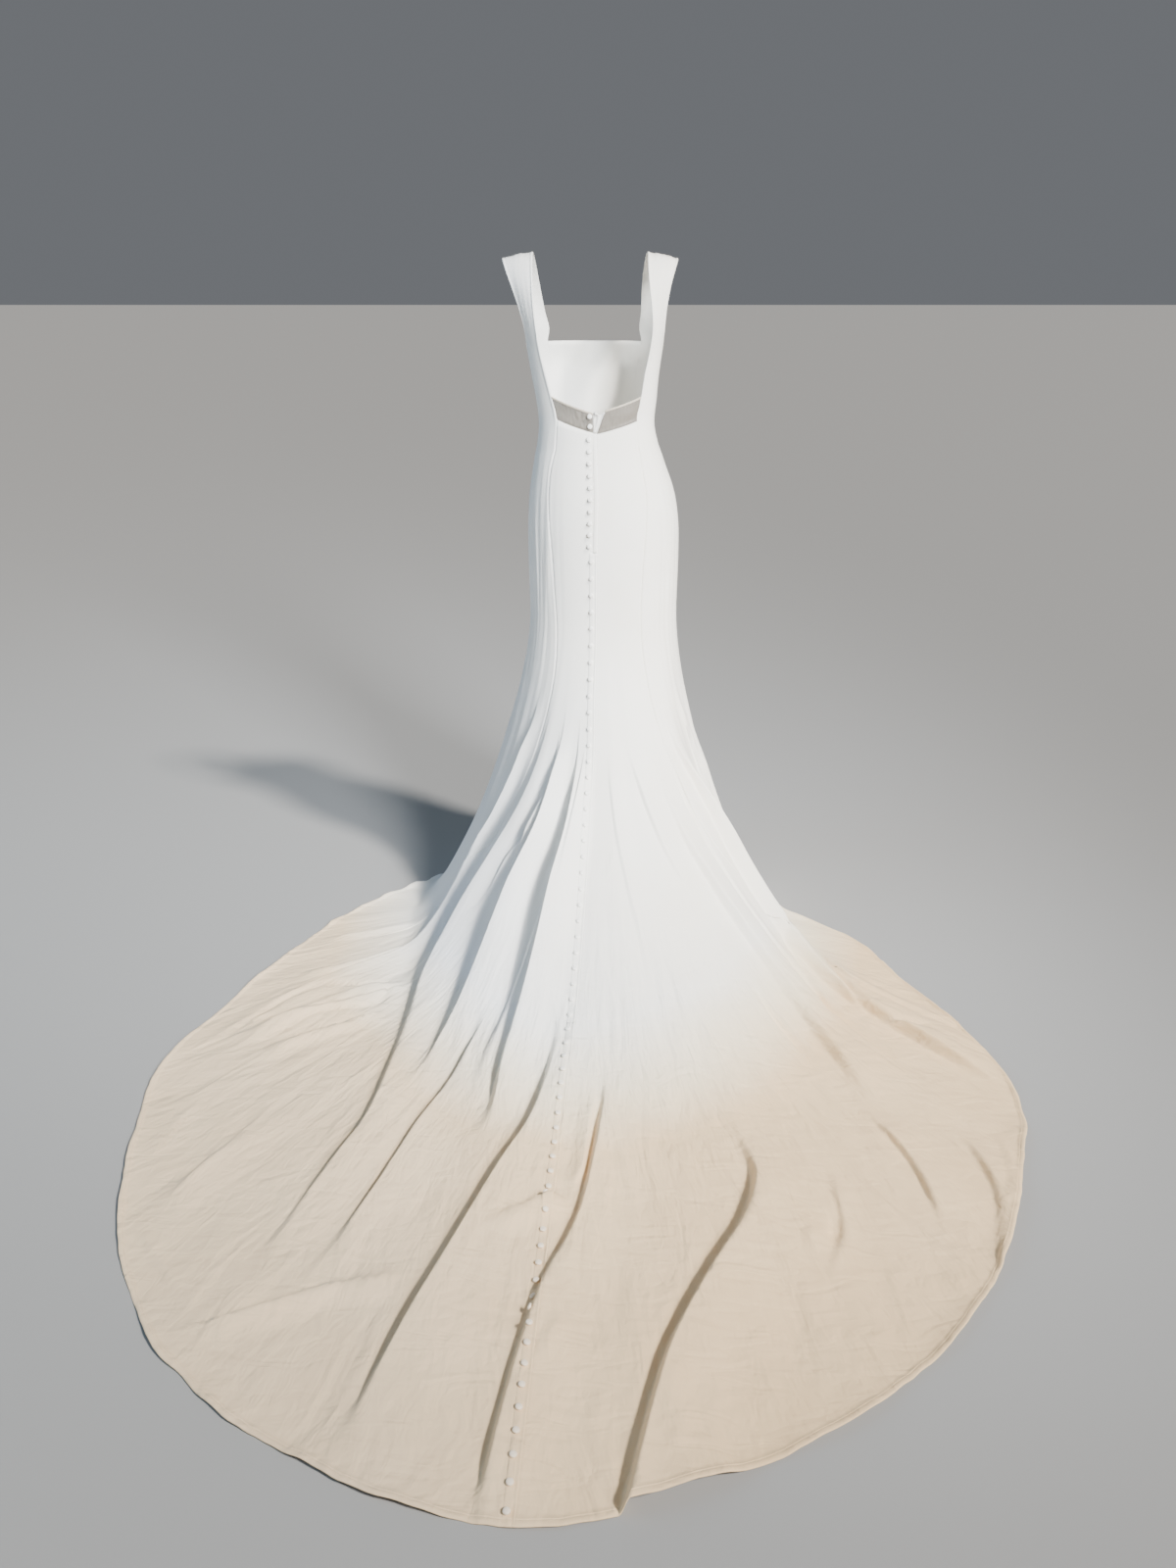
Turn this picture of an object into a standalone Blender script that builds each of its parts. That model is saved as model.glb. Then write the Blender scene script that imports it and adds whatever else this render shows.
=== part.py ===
"""A fit-and-flare wedding dress with wide shoulder straps, a low open back and a long round train.

The dress hangs as it is worn. The wearer faces -Y, the train lies behind them along +Y, and the wearer's
left is +X. Heights in the tables are metres above the floor. The origin is midway between the undersides
of the two shoulder straps, where the wearer holds the dress up.
"""

import math

import bmesh
import bpy
import numpy as np

# ---- Driving sizes, in metres and degrees ----

STRAP_HEIGHT = 1.491  # underside of the straps at the shoulder seams, above the floor
BREAK_HEIGHT = 0.74  # where the skirt leaves the thighs and starts to flare
CLOTH = 0.002  # wall of the crepe panels
MESH_CLOTH = 0.001  # wall of the sheer insets
SEAM_GAP = 0.0003  # between neighbouring pieces
PROBE = 0.004  # step for measuring the surface's direction, metres and about half as many degrees

SECTION_POWER = 2.25  # roundness of the body's sections: 2 is an ellipse, more is squarer

# The body's sections, from thigh to chest.
TORSO = [  # height, half width, centre x, front depth, back depth
    (0.70, 0.168, -0.020, 0.104, 0.1390),
    (0.78, 0.169, -0.020, 0.106, 0.1385),
    (0.87, 0.170, -0.020, 0.108, 0.1380),
    (0.94, 0.169, -0.019, 0.110, 0.1350),
    (1.00, 0.162, -0.016, 0.112, 0.1260),
    (1.07, 0.144, -0.009, 0.108, 0.1060),
    (1.14, 0.127, -0.004, 0.101, 0.086),
    (1.20, 0.132, -0.003, 0.108, 0.083),
    (1.26, 0.140, 0.000, 0.116, 0.090),
    (1.32, 0.149, 0.001, 0.112, 0.098),
    (1.40, 0.160, 0.004, 0.100, 0.100),
]
HALF_WIDTH, CENTRE_X, FRONT_DEPTH, BACK_DEPTH = 1, 2, 3, 4

# The two soft cups that the princess seams shape.
BUST_X = 0.080
BUST_HEIGHT = 1.262
BUST_SPREAD = 0.058
BUST_LIFT = 0.024

# How the skirt falls at each angle, measured from the train's middle (+Y) towards +X. Each fall is a cubic
# curve: it leaves the thigh straight down for a third of the drop pull, and meets the floor at the landing
# radius, coming in at the floor slope.
FALL = [  # angle, landing radius, drop pull, floor pull, floor slope
    (-180, 0.335, 0.22, 0.10, 62),
    (-150, 0.340, 0.22, 0.10, 60),
    (-120, 0.365, 0.22, 0.10, 55),
    (-90, 0.430, 0.22, 0.09, 30),
    (-72, 0.450, 0.23, 0.12, 12),
    (-58, 0.600, 0.24, 0.22, 0),
    (-45, 0.780, 0.25, 0.32, 0),
    (-30, 0.930, 0.27, 0.42, 0),
    (-15, 1.050, 0.28, 0.48, 0),
    (0, 1.100, 0.28, 0.50, 0),
    (15, 1.000, 0.28, 0.46, 0),
    (30, 0.800, 0.26, 0.34, 0),
    (45, 0.620, 0.25, 0.24, 0),
    (60, 0.520, 0.24, 0.16, 2),
    (75, 0.460, 0.23, 0.11, 12),
    (90, 0.415, 0.22, 0.09, 30),
    (120, 0.360, 0.22, 0.10, 55),
    (150, 0.340, 0.22, 0.10, 60),
    (180, 0.335, 0.22, 0.10, 62),
]
LANDING, DROP_PULL, FLOOR_PULL, FLOOR_SLOPE = 1, 2, 3, 4

HEM = [  # angle, radius of the hem from the body's axis
    (-180, 0.335), (-150, 0.340), (-120, 0.365), (-95, 0.420), (-82, 0.440), (-73, 0.500), (-65, 0.670),
    (-54, 0.859), (-48, 1.035), (-42, 1.205), (-33, 1.361), (-24, 1.530), (-14, 1.677), (-6, 1.760),
    (3.5, 1.833), (13, 1.778), (20, 1.708), (28, 1.582), (33, 1.476), (39, 1.340), (47, 1.180), (53, 1.009),
    (61, 0.830), (73, 0.658), (85, 0.511), (97, 0.412), (120, 0.360), (150, 0.340), (180, 0.335),
]

# Where the seams run. The level is minus the height above the break on the body, and on the skirt the share
# of the way from the break to the hem. The other columns are angles.
SEAMS = [  # level, centre back, back left, back right, side left, side right, front left, front right
    (-0.56, 2, 40, -40, 90, -90, 137, -137),
    (-0.39, 2, 40, -40, 90, -90, 143, -143),
    (-0.30, 3, 45, -36, 90, -90, 143, -143),
    (-0.15, 5, 41, -29, 90, -90, 143, -143),
    (0.00, 5, 37, -27, 90, -90, 143, -143),
    (0.10, 5, 34, -28, 90, -90, 141, -141),
    (0.20, 4, 37, -31, 91, -91, 139, -139),
    (0.33, 4, 47, -37, 92, -92, 137, -137),
    (0.48, 4, 58, -46, 93, -93, 135, -135),
    (1.00, 3.5, 62, -49, 93, -93, 132, -132),
]
CENTRE_BACK, BACK_L, BACK_R, SIDE_L, SIDE_R, FRONT_L, FRONT_R = 1, 2, 3, 4, 5, 6, 7

# The large folds of the skirt and train. Each has a crest that runs through points seen from above, x and y
# in metres. It stands up from the cloth by its height, falls steeply towards +X and gently towards -X, and
# fades in and out over the given lengths. Nearer the body than FULL_WIDTH_RADIUS its widths shrink.
FOLDS = [  # name, height, steep width, gentle width, fade in, fade out, crest
    ("side left", 0.022, 0.060, 0.090, 0.20, 0.30,
     [(0.12, 0.12), (0.17, 0.15), (0.23, 0.17), (0.30, 0.20), (0.42, 0.34), (0.62, 0.50), (0.78, 0.65)]),
    ("low left", 0.014, 0.050, 0.090, 0.16, 0.26, [(0.34, 0.45), (0.50, 0.57), (0.64, 0.64), (0.77, 0.72)]),
    ("third left", 0.036, 0.060, 0.110, 0.26, 0.40,
     [(0.09, 0.15), (0.15, 0.23), (0.22, 0.29), (0.30, 0.37), (0.36, 0.50), (0.39, 0.70), (0.42, 0.98),
      (0.48, 1.17), (0.56, 1.42)]),
    ("second left", 0.042, 0.060, 0.100, 0.28, 0.26,
     [(0.06, 0.17), (0.11, 0.31), (0.16, 0.39), (0.21, 0.49), (0.27, 0.65), (0.32, 0.78), (0.35, 0.92)]),
    ("split left", 0.028, 0.040, 0.110, 0.16, 0.30,
     [(0.21, 0.66), (0.26, 0.82), (0.32, 0.98), (0.37, 1.16), (0.42, 1.30), (0.48, 1.44)]),
    ("first left", 0.048, 0.065, 0.100, 0.30, 0.16,
     [(0.03, 0.19), (0.05, 0.34), (0.09, 0.50), (0.13, 0.66), (0.17, 0.83), (0.20, 1.02)]),
    ("long left", 0.044, 0.052, 0.170, 0.26, 0.30,
     [(0.06, 0.70), (0.10, 0.94), (0.17, 1.14), (0.24, 1.35), (0.30, 1.54), (0.37, 1.77)]),
    ("centre", 0.030, 0.040, 0.120, 0.22, 0.12,
     [(-0.03, 0.84), (0.00, 1.08), (0.03, 1.26), (0.08, 1.40), (0.12, 1.58), (0.16, 1.84)]),
    ("hem right", 0.044, 0.052, 0.190, 0.26, 0.001,
     [(-0.25, 0.98), (-0.28, 1.13), (-0.25, 1.26), (-0.17, 1.41), (-0.10, 1.57), (-0.03, 1.84)]),
    ("first right", 0.024, 0.080, 0.140, 0.34, 0.22,
     [(-0.11, 0.19), (-0.20, 0.32), (-0.29, 0.41), (-0.39, 0.53), (-0.47, 0.70), (-0.54, 0.96)]),
    ("second right", 0.038, 0.070, 0.120, 0.20, 0.24,
     [(-0.14, 0.14), (-0.19, 0.18), (-0.24, 0.20), (-0.31, 0.24), (-0.41, 0.33), (-0.52, 0.50),
      (-0.66, 0.70), (-0.83, 0.92)]),
    ("side right", 0.009, 0.070, 0.090, 0.10, 0.24,
     [(-0.18, 0.09), (-0.22, 0.10), (-0.27, 0.11), (-0.36, 0.12), (-0.48, 0.14)]),
    ("cross left", 0.016, 0.036, 0.060, 0.10, 0.16,
     [(0.28, 1.37), (0.42, 1.41), (0.52, 1.46), (0.65, 1.52)]),
    ("edge left", 0.011, 0.045, 0.080, 0.12, 0.10, [(0.60, 0.92), (0.68, 1.10), (0.76, 1.26)]),
    ("low right", 0.018, 0.036, 0.090, 0.12, 0.14, [(-0.50, 0.94), (-0.56, 1.10), (-0.58, 1.31)]),
    ("edge right", 0.017, 0.045, 0.080, 0.12, 0.08, [(-0.67, 1.01), (-0.69, 1.18), (-0.63, 1.41)]),
    ("small right", 0.010, 0.030, 0.060, 0.08, 0.08, [(-0.41, 1.12), (-0.41, 1.26), (-0.36, 1.40)]),
    ("front left", 0.022, 0.090, 0.120, 0.12, 0.02, [(0.09, -0.12), (0.14, -0.21), (0.19, -0.31)]),
    ("front right", 0.019, 0.090, 0.120, 0.12, 0.02, [(-0.11, -0.12), (-0.15, -0.20), (-0.20, -0.30)]),
    ("front middle", 0.013, 0.090, 0.100, 0.12, 0.02, [(0.00, -0.14), (0.01, -0.24), (0.02, -0.36)]),
]
FULL_WIDTH_RADIUS = 0.70
LEAST_WIDTH = 0.30  # the share of its widths that a fold keeps nearest the body
FOLD_START = 0.06  # level where the folds reach their full height
CREST_STEPS = 4  # straight pieces between two points of a crest

# The rows of points that all panels share: heights on the body, and levels on the skirt.
BODY_ROWS = [1.10, 1.05, 1.00, 0.94, 0.87, 0.80]
SKIRT_ROWS = 29
CENTRE_BACK_COLUMNS = 22
SIDE_COLUMNS = 7
CENTRE_FRONT_COLUMNS = 9
BEND_SAMPLES = 90  # places across a panel where the folds' bend is measured
BLUR_PASSES = 3  # how often that bend is averaged with its neighbours
CROWDING = 5  # how strongly columns crowd where the folds bend the cloth most

# The rows above the waist. A row may climb from one edge of its panel to the other.
CENTRE_BACK_TOP = (1.136, 1.162)  # height at the centre-back seam, and at the corner with the strap
SIDE_BACK_ROWS = [  # angle of the back opening's edge, its height, height at the side seam
    (51.0, 1.300, 1.300),
    (48.0, 1.260, 1.250),
    (44.6, 1.212, 1.200),
    (40.0, 1.162, 1.150),
]
FRONT_ROWS = [  # height at the front princess seam, height at the side seam
    (1.315, 1.300),
    (1.265, 1.250),
    (1.210, 1.200),
    (1.155, 1.150),
]

# A shoulder strap, from the back over the shoulder to the front. The columns give its inner edge, by the
# neck, and its outer edge, by the arm.
STRAP = [  # inner x, inner y, inner height, outer x, outer y, outer height
    (0.125, 0.069, 1.345, 0.152, 0.030, 1.345),
    (0.130, 0.072, 1.390, 0.163, 0.043, 1.390),
    (0.132, 0.066, 1.435, 0.177, 0.044, 1.430),
    (0.1325, 0.046, 1.475, 0.190, 0.032, 1.463),
    (0.1325, 0.020, 1.496, 0.197, 0.014, 1.482),
    (0.132, -0.004, 1.500, 0.199, -0.004, 1.487),
    (0.131, -0.028, 1.494, 0.196, -0.024, 1.480),
    (0.127, -0.054, 1.468, 0.186, -0.044, 1.458),
    (0.120, -0.077, 1.425, 0.168, -0.058, 1.420),
    (0.111, -0.094, 1.375, 0.153, -0.056, 1.375),
    (0.103, -0.101, 1.342, 0.148, -0.034, 1.337),
]
SHOULDER_ROW = 5  # the row of STRAP that is the shoulder seam
STRAP_CROWN = 0.003  # how far the middle of a strap stands off a straight line
RIGHT_SHIFT = 0.022  # how much nearer the neck the right strap lies at the shoulder than the left one
SHIFT_FROM, SHIFT_TO = 1.30, 1.48  # heights between which it moves over

# The sheer insets in the low back.
ILLUSION = [  # side, angle at the bottom, angle at the top, height by the zip, height by the strap
    (1, 2.9, 2.9, 1.178, 1.210),
    (-1, -0.2, -6.5, 1.184, 1.210),
]
ILLUSION_COLUMNS, ILLUSION_ROWS = 7, 4
ILLUSION_EASE = 0.3  # degrees that an inset stops short of the strap panel
BINDING_WIDTH = 0.005
BINDING_CLOTH = 0.0012

# The centre-back closing.
TRIM_CLOTH = 0.0016  # wall of the strips
ZIP_WIDTH = 0.008
ZIP_TOP, ZIP_LOW = 1.176, 1.1373
PLACKET_WIDTH = 0.009
PLACKET_TOP = 1.134
PLACKET_END = 0.885  # height where the zip ends and the strip of decorative buttons begins
STRIP_LEFT, STRIP_RIGHT = 0.0145, 0.0045  # the strip's reach to each side of the centre-back seam
BUTTON_WIDTH = 0.0108
BUTTON_HEIGHT = 0.0052
BUTTON_OFFSET = 0.0085  # from the centre-back seam to a decorative button's middle
CLOSING_OFFSET = 0.0130  # the same for a closing button
CLOSING_HEIGHTS = [1.122 - 0.0247 * i for i in range(10)]
INSET_BUTTONS = [  # height, clear height over the mesh: the first lies on the binding
    (1.171, 0.0020),
    (1.150, 0.0005),
]
INSET_BUTTON_OFFSET = 0.006  # from the inset's edge by the zip
DECORATIVE_BUTTONS = 58
SPLIT_SEARCH = 3  # how many rows either way the end of the first strip may lie
SUNK = 0.0005  # how deep a decorative button's foot goes into its strip
TRIM_LIFT = 0.0004  # clear height of a strip over the panels that it lies on
BUTTON_LIFT = 0.0005  # clear height of a closing button over its panel
DECORATIVE_SIDES, CLOSING_SIDES = 8, 10
CLOSING_SHAPE = [(0.00, 0.70), (0.35, 1.00), (0.80, 0.78)]  # share of the height, share of the radius
DECORATIVE_SHAPE = [(0.00, 0.70), (0.50, 1.00)]

SHARP_EDGE = 50  # degrees
IVORY = (0.86, 0.82, 0.75)
SHEER = (0.62, 0.58, 0.52)
WHITE = (0.90, 0.89, 0.86)


# ---- The surface of the dress ----


def smooth(table, column, keys):
    """Reads a table's column at keys of its first column, along a smooth curve through the rows."""
    rows = np.array([row[: column + 1] for row in table], float)
    key, value = rows[:, 0], rows[:, column]
    keys = np.clip(keys, key[0], key[-1])
    step = np.diff(key)
    slope = np.diff(value) / step
    tangent = np.concatenate([slope[:1], (slope[1:] + slope[:-1]) / 2, slope[-1:]])
    tangent[1:-1][slope[1:] * slope[:-1] <= 0] = 0
    i = np.clip(np.searchsorted(key, keys, side="right") - 1, 0, len(step) - 1)
    t = (keys - key[i]) / step[i]
    start = (1 + 2 * t) * (1 - t) ** 2 * value[i] + t * (1 - t) ** 2 * step[i] * tangent[i]
    end = t**2 * (3 - 2 * t) * value[i + 1] + t**2 * (t - 1) * step[i] * tangent[i + 1]
    return start + end


def body_point(angle, height):
    """A point of the close-fitting part, from the angle round the body and the height above the floor."""
    sin, cos = np.sin(np.radians(angle)), np.cos(np.radians(angle))
    depth = np.where(cos > 0, smooth(TORSO, BACK_DEPTH, height), smooth(TORSO, FRONT_DEPTH, height))
    x = smooth(TORSO, HALF_WIDTH, height) * np.sign(sin) * np.abs(sin) ** (2 / SECTION_POWER)
    y = depth * np.sign(cos) * np.abs(cos) ** (2 / SECTION_POWER)
    for cup_x in (-BUST_X, BUST_X):
        away = ((x - cup_x) ** 2 + (height - BUST_HEIGHT) ** 2) / BUST_SPREAD**2
        y = y - np.where(cos < 0, BUST_LIFT * np.exp(-away), 0)
    return np.stack([x + smooth(TORSO, CENTRE_X, height), y, height + 0 * x], -1)


def skirt_point(angle, level):
    """A point of the skirt without its folds. Level 0 is the break and level 1 the hem."""
    start = body_point(angle, np.full_like(angle, BREAK_HEIGHT))
    angle = (angle + 180) % 360 - 180
    out = np.stack([np.sin(np.radians(angle)), np.cos(np.radians(angle))], -1)
    hem_radius = smooth(HEM, 1, angle)
    on_floor = hem_radius - np.minimum(smooth(FALL, LANDING, angle), hem_radius)
    reach = out * hem_radius[..., None] - start[..., :2]
    length = np.linalg.norm(reach, axis=-1)
    landing = length - on_floor
    fall = np.hypot(landing, BREAK_HEIGHT)
    share = fall / (fall + on_floor)  # the share of the levels that stands off the floor
    t = np.minimum(level / share, 1)
    flat = np.clip((level - share) / np.maximum(1 - share, 1e-6), 0, 1) * (share < 1)
    pull = smooth(FALL, FLOOR_PULL, angle)
    slope = np.radians(smooth(FALL, FLOOR_SLOPE, angle))
    second, third, last = 3 * t * (1 - t) ** 2, 3 * t**2 * (1 - t), t**3
    away = third * (landing - pull * np.cos(slope)) + last * landing
    height = (1 - t) ** 3 * BREAK_HEIGHT + second * (BREAK_HEIGHT - smooth(FALL, DROP_PULL, angle))
    height += third * (CLOTH + pull * np.sin(slope)) + last * CLOTH
    plan = start[..., :2] + reach / length[..., None] * (away + flat * on_floor)[..., None]
    return np.concatenate([plan, height[..., None]], -1)


def plain_point(angle, level):
    """A point of the cloth without its folds: on the body where the level is below 0, else on the skirt."""
    body = body_point(angle, BREAK_HEIGHT - np.minimum(level, 0))
    return np.where((level < 0)[..., None], body, skirt_point(angle, np.clip(level, 0, 1)))


def direction(surface, angle, level):
    """The unit outward direction of a surface, given as a function of angle and level."""
    across = surface(angle + 100 * PROBE, level) - surface(angle - 100 * PROBE, level)
    last = np.minimum(level + PROBE, 1)
    down = surface(angle, last) - surface(angle, last - 2 * PROBE)
    normal = np.cross(across, down)
    return normal / np.linalg.norm(normal, axis=-1, keepdims=True)


def crest_line(points):
    """A smooth line through a crest's points."""
    points = np.array(points)
    key = np.arange(len(points))
    fine = np.linspace(0, key[-1], CREST_STEPS * key[-1] + 1)
    return np.stack([smooth(list(zip(key, points[:, i])), 1, fine) for i in (0, 1)], -1)


def fold_height(plan, fold):
    """How far one fold lifts the cloth at points seen from above."""
    _, height, steep, gentle, fade_in, fade_out, points = fold
    crest = crest_line(points)
    steps = np.linalg.norm(np.diff(crest, axis=0), axis=1)
    begun = np.concatenate([[0], np.cumsum(steps)])
    nearest = np.full(plan.shape[:-1], np.inf)
    gone = np.zeros(plan.shape[:-1])
    side = np.zeros(plan.shape[:-1])
    for a, b, step, before in zip(crest[:-1], crest[1:], steps, begun):
        along = np.clip((plan - a) @ (b - a) / step, 0, step)
        offset = plan - a - along[..., None] * (b - a) / step
        away = np.linalg.norm(offset, axis=-1)
        closer = away < nearest
        nearest = np.where(closer, away, nearest)
        gone = np.where(closer, before + along, gone)
        side = np.where(closer, offset[..., 0] * (b - a)[1] - offset[..., 1] * (b - a)[0], side)
    radius = np.linalg.norm(plan, axis=-1)
    width = np.where(side > 0, steep, gentle) * np.clip(radius / FULL_WIDTH_RADIUS, LEAST_WIDTH, 1)
    bump = (1 + np.cos(math.pi * np.minimum(nearest / width, 1))) / 2
    fade = np.clip(gone / fade_in, 0, 1) * np.clip((begun[-1] - gone) / fade_out, 0, 1)
    return height * bump * fade * fade * (3 - 2 * fade)


def folds_height(plan):
    return sum(fold_height(plan, fold) for fold in FOLDS)


def cloth_point(angle, level):
    """A point of the cloth's outer side, with its folds."""
    plain = plain_point(angle, level)
    lift = np.where(level > 0, folds_height(plain[..., :2]), 0)
    lift *= np.clip(level / FOLD_START, 0, 1)
    point = plain + direction(plain_point, angle, level) * lift[..., None]
    point[..., 2] = np.maximum(point[..., 2], CLOTH)
    return point


# ---- Panels: grids of points, rows from the top down ----


def degrees(width, angle, levels):
    """How many degrees a width along the cloth takes up at an angle."""
    step = plain_point(angle + 0.5, levels) - plain_point(angle - 0.5, levels)
    return width / np.linalg.norm(step, axis=-1)


def column_angles(first, last, levels, count):
    """The angles of a panel's columns at each level, from one seam to the next. A panel that has the
    centre-back seam keeps a column beside it that is as wide as the strips' reach on that side."""
    left, right = smooth(SEAMS, first, levels), smooth(SEAMS, last, levels)
    if first == CENTRE_BACK:
        inner = left + degrees(STRIP_LEFT, left, levels)
        return np.column_stack([left, spread(inner, right, levels, count - 1)])
    if last == CENTRE_BACK:
        inner = right - degrees(STRIP_RIGHT, right, levels)
        return np.column_stack([spread(left, inner, levels, count - 1), right])
    return spread(left, np.where(right < left, right + 360, right), levels, count)


def spread(left, right, levels, count):
    """Angles between two limits at each level, crowded where the folds bend the cloth."""
    angles = left[:, None] + (right - left)[:, None] * np.linspace(0, 1, BEND_SAMPLES)
    lift = folds_height(plain_point(angles, levels[:, None] + 0 * angles)[..., :2])
    lift *= (levels > 0)[:, None]
    bend = np.abs(np.gradient(np.gradient(lift, axis=1), axis=1))
    for _ in range(BLUR_PASSES):
        bend = (np.roll(bend, 1, axis=0) + 2 * bend + np.roll(bend, -1, axis=0)) / 4
        bend = (np.roll(bend, 1, axis=1) + 2 * bend + np.roll(bend, -1, axis=1)) / 4
    weight = 1 + CROWDING * bend / (bend.max() or 1)
    filled = np.cumsum(weight, axis=1) - weight[:, :1]
    evenly = np.linspace(0, 1, count)
    return np.array([np.interp(evenly, f / f[-1], a) for f, a in zip(filled, angles)])


def shared_levels():
    body = [BREAK_HEIGHT - height for height in BODY_ROWS]
    return np.array(body + [row / SKIRT_ROWS for row in range(SKIRT_ROWS + 1)])


def body_rows(rows, share):
    """Angles and levels of rows on the body, from their first angle and height, last angle and height."""
    angles = [first + (last - first) * share for first, _, last, _ in rows]
    levels = [BREAK_HEIGHT - low - (high - low) * share for _, low, _, high in rows]
    return np.array(angles), np.array(levels)


def seam_angle(column, height):
    return float(smooth(SEAMS, column, BREAK_HEIGHT - height))


def surface_grid(first, last, count, top_rows):
    """Points and outward directions of a panel between two seams. Its own rows lie above the others."""
    levels = shared_levels()
    angles = column_angles(first, last, levels, count)
    levels = levels[:, None] + 0 * angles
    share = (angles[0] - angles[0, 0]) / (angles[0, -1] - angles[0, 0])
    top_angles, top_levels = body_rows(top_rows, share)
    angles = np.concatenate([top_angles, angles])
    levels = np.concatenate([top_levels, levels])
    return cloth_point(angles, levels), direction(cloth_point, angles, levels)


def centre_back(side):
    low, high = CENTRE_BACK_TOP
    middle = seam_angle(CENTRE_BACK, low)
    if side > 0:
        top = (middle, low, seam_angle(BACK_L, high), high)
        return surface_grid(CENTRE_BACK, BACK_L, CENTRE_BACK_COLUMNS, [top])
    top = (seam_angle(BACK_R, high), high, middle, low)
    return surface_grid(BACK_R, CENTRE_BACK, CENTRE_BACK_COLUMNS, [top])


def centre_front():
    rows = []
    for height, _ in FRONT_ROWS:
        edge = seam_angle(FRONT_L, height)
        rows.append((edge, height, 360 - edge, height))
    return surface_grid(FRONT_L, FRONT_R, CENTRE_FRONT_COLUMNS, rows)


def mirrored(grid):
    """The same grid on the other side of the body, with its columns in the opposite order."""
    flip = np.array([-1, 1, 1])
    return tuple(part[:, ::-1] * flip for part in grid)


def strap_grid(start, end):
    """The strap on the +X side, over the shoulder from the back panel's top row to the front panel's."""
    share = np.linspace(0, 1, SIDE_COLUMNS)[:, None]
    rows = [start[0]]
    for row in STRAP:
        inner, outer = np.array(row[:3]), np.array(row[3:])
        rows.append(inner + (outer - inner) * share)
    points = np.array(rows + [end[0]])
    normals = np.cross(np.gradient(points, axis=1), -np.gradient(points, axis=0))
    normals /= np.linalg.norm(normals, axis=-1, keepdims=True)
    normals[0], normals[-1] = start[1], end[1]
    crown = STRAP_CROWN * np.sin(math.pi * share[:, 0])[None, :, None]
    points[1:-1] += (crown * normals)[1:-1]
    return points, normals


def shifted(grid):
    """The right strap's grid, moved over towards the neck."""
    points, normals = grid
    t = np.clip((points[..., 2] - SHIFT_FROM) / (SHIFT_TO - SHIFT_FROM), 0, 1)
    across = RIGHT_SHIFT * t * t * (3 - 2 * t)
    return points + across[..., None] * np.array([1, 0, 0]), normals


def side_panels(side):
    """The side back and side front panels of one side, with their halves of the strap."""
    back_seam, side_seam, front_seam = (BACK_L, SIDE_L, FRONT_L) if side > 0 else (BACK_R, SIDE_R, FRONT_R)
    back_rows = [(side * angle, low, side * 90, high) for angle, low, high in SIDE_BACK_ROWS]
    front_rows = [(side * 90, high, seam_angle(front_seam, low), low) for low, high in FRONT_ROWS]
    if side > 0:
        back = surface_grid(back_seam, side_seam, SIDE_COLUMNS, back_rows)
        front = surface_grid(side_seam, front_seam, SIDE_COLUMNS, front_rows)
        back_top, front_top = [part[0] for part in back], [part[0][::-1] for part in front]
    else:
        back_rows = [(last, high, first, low) for first, low, last, high in back_rows]
        front_rows = [(last, high, first, low) for first, low, last, high in front_rows]
        back = surface_grid(side_seam, back_seam, SIDE_COLUMNS, back_rows)
        front = surface_grid(front_seam, side_seam, SIDE_COLUMNS, front_rows)
        flip = np.array([-1, 1, 1])
        back_top, front_top = [part[0][::-1] * flip for part in back], [part[0] * flip for part in front]
    strap = strap_grid(back_top, front_top)
    seam = SHOULDER_ROW + 1
    back_strap = [part[1 : seam + 1][::-1] for part in strap]
    front_strap = [part[seam:-1, ::-1] for part in strap]
    if side < 0:
        back_strap, front_strap = shifted(mirrored(back_strap)), shifted(mirrored(front_strap))
    return tuple(
        tuple(np.concatenate([upper, lower]) for upper, lower in zip(*pair))
        for pair in ((back_strap, back), (front_strap, front))
    )


def trimmed(points, normals):
    """Moves a grid's four edges inwards by half a seam gap, square to the edge and along the cloth."""
    moved = points.copy()
    for axis in (0, 1):
        before, after = np.moveaxis(points, axis, 0), np.moveaxis(moved, axis, 0)
        outward = np.moveaxis(normals, axis, 0)
        for edge, inside in ((0, 1), (-1, -2)):
            step = np.cross(outward[edge], np.gradient(before[edge], axis=0))
            step *= np.sign(np.sum(step * (before[inside] - before[edge]), -1, keepdims=True))
            after[edge] += step / np.linalg.norm(step, axis=-1, keepdims=True) * SEAM_GAP / 2
    return moved


def wall(name, points, normals, thickness, colour, lift=0.0):
    """A closed wall of a thickness. Its outer side is a grid of points, moved out by lift."""
    outer = trimmed(points, normals) + normals * lift
    inner = outer - normals * thickness
    rows, columns = points.shape[:2]
    vertices = np.concatenate([outer.reshape(-1, 3), inner.reshape(-1, 3)])
    vertices[:, 2] -= STRAP_HEIGHT
    inside = rows * columns

    def corner(row, column):
        return row * columns + column

    faces = []
    for row in range(rows - 1):
        for column in range(columns - 1):
            a, b = corner(row, column), corner(row, column + 1)
            c, d = corner(row + 1, column + 1), corner(row + 1, column)
            faces += [(a, c, b), (a, d, c)]
            faces += [(inside + a, inside + b, inside + c), (inside + a, inside + c, inside + d)]
    rim = [corner(0, column) for column in range(columns)]
    rim += [corner(row, columns - 1) for row in range(1, rows)]
    rim += [corner(rows - 1, column) for column in range(columns - 2, -1, -1)]
    rim += [corner(row, 0) for row in range(rows - 2, 0, -1)]
    for a, b in zip(rim, rim[1:] + rim[:1]):
        # Both walls at a seam split this quad the same way, so that they stay parallel where it twists.
        crossing = b if a < b else a
        faces += [(a, b, inside + crossing), (min(a, b), inside + b, inside + a)]
    return add_object(name, vertices, faces, colour)


# ---- Objects ----


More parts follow.
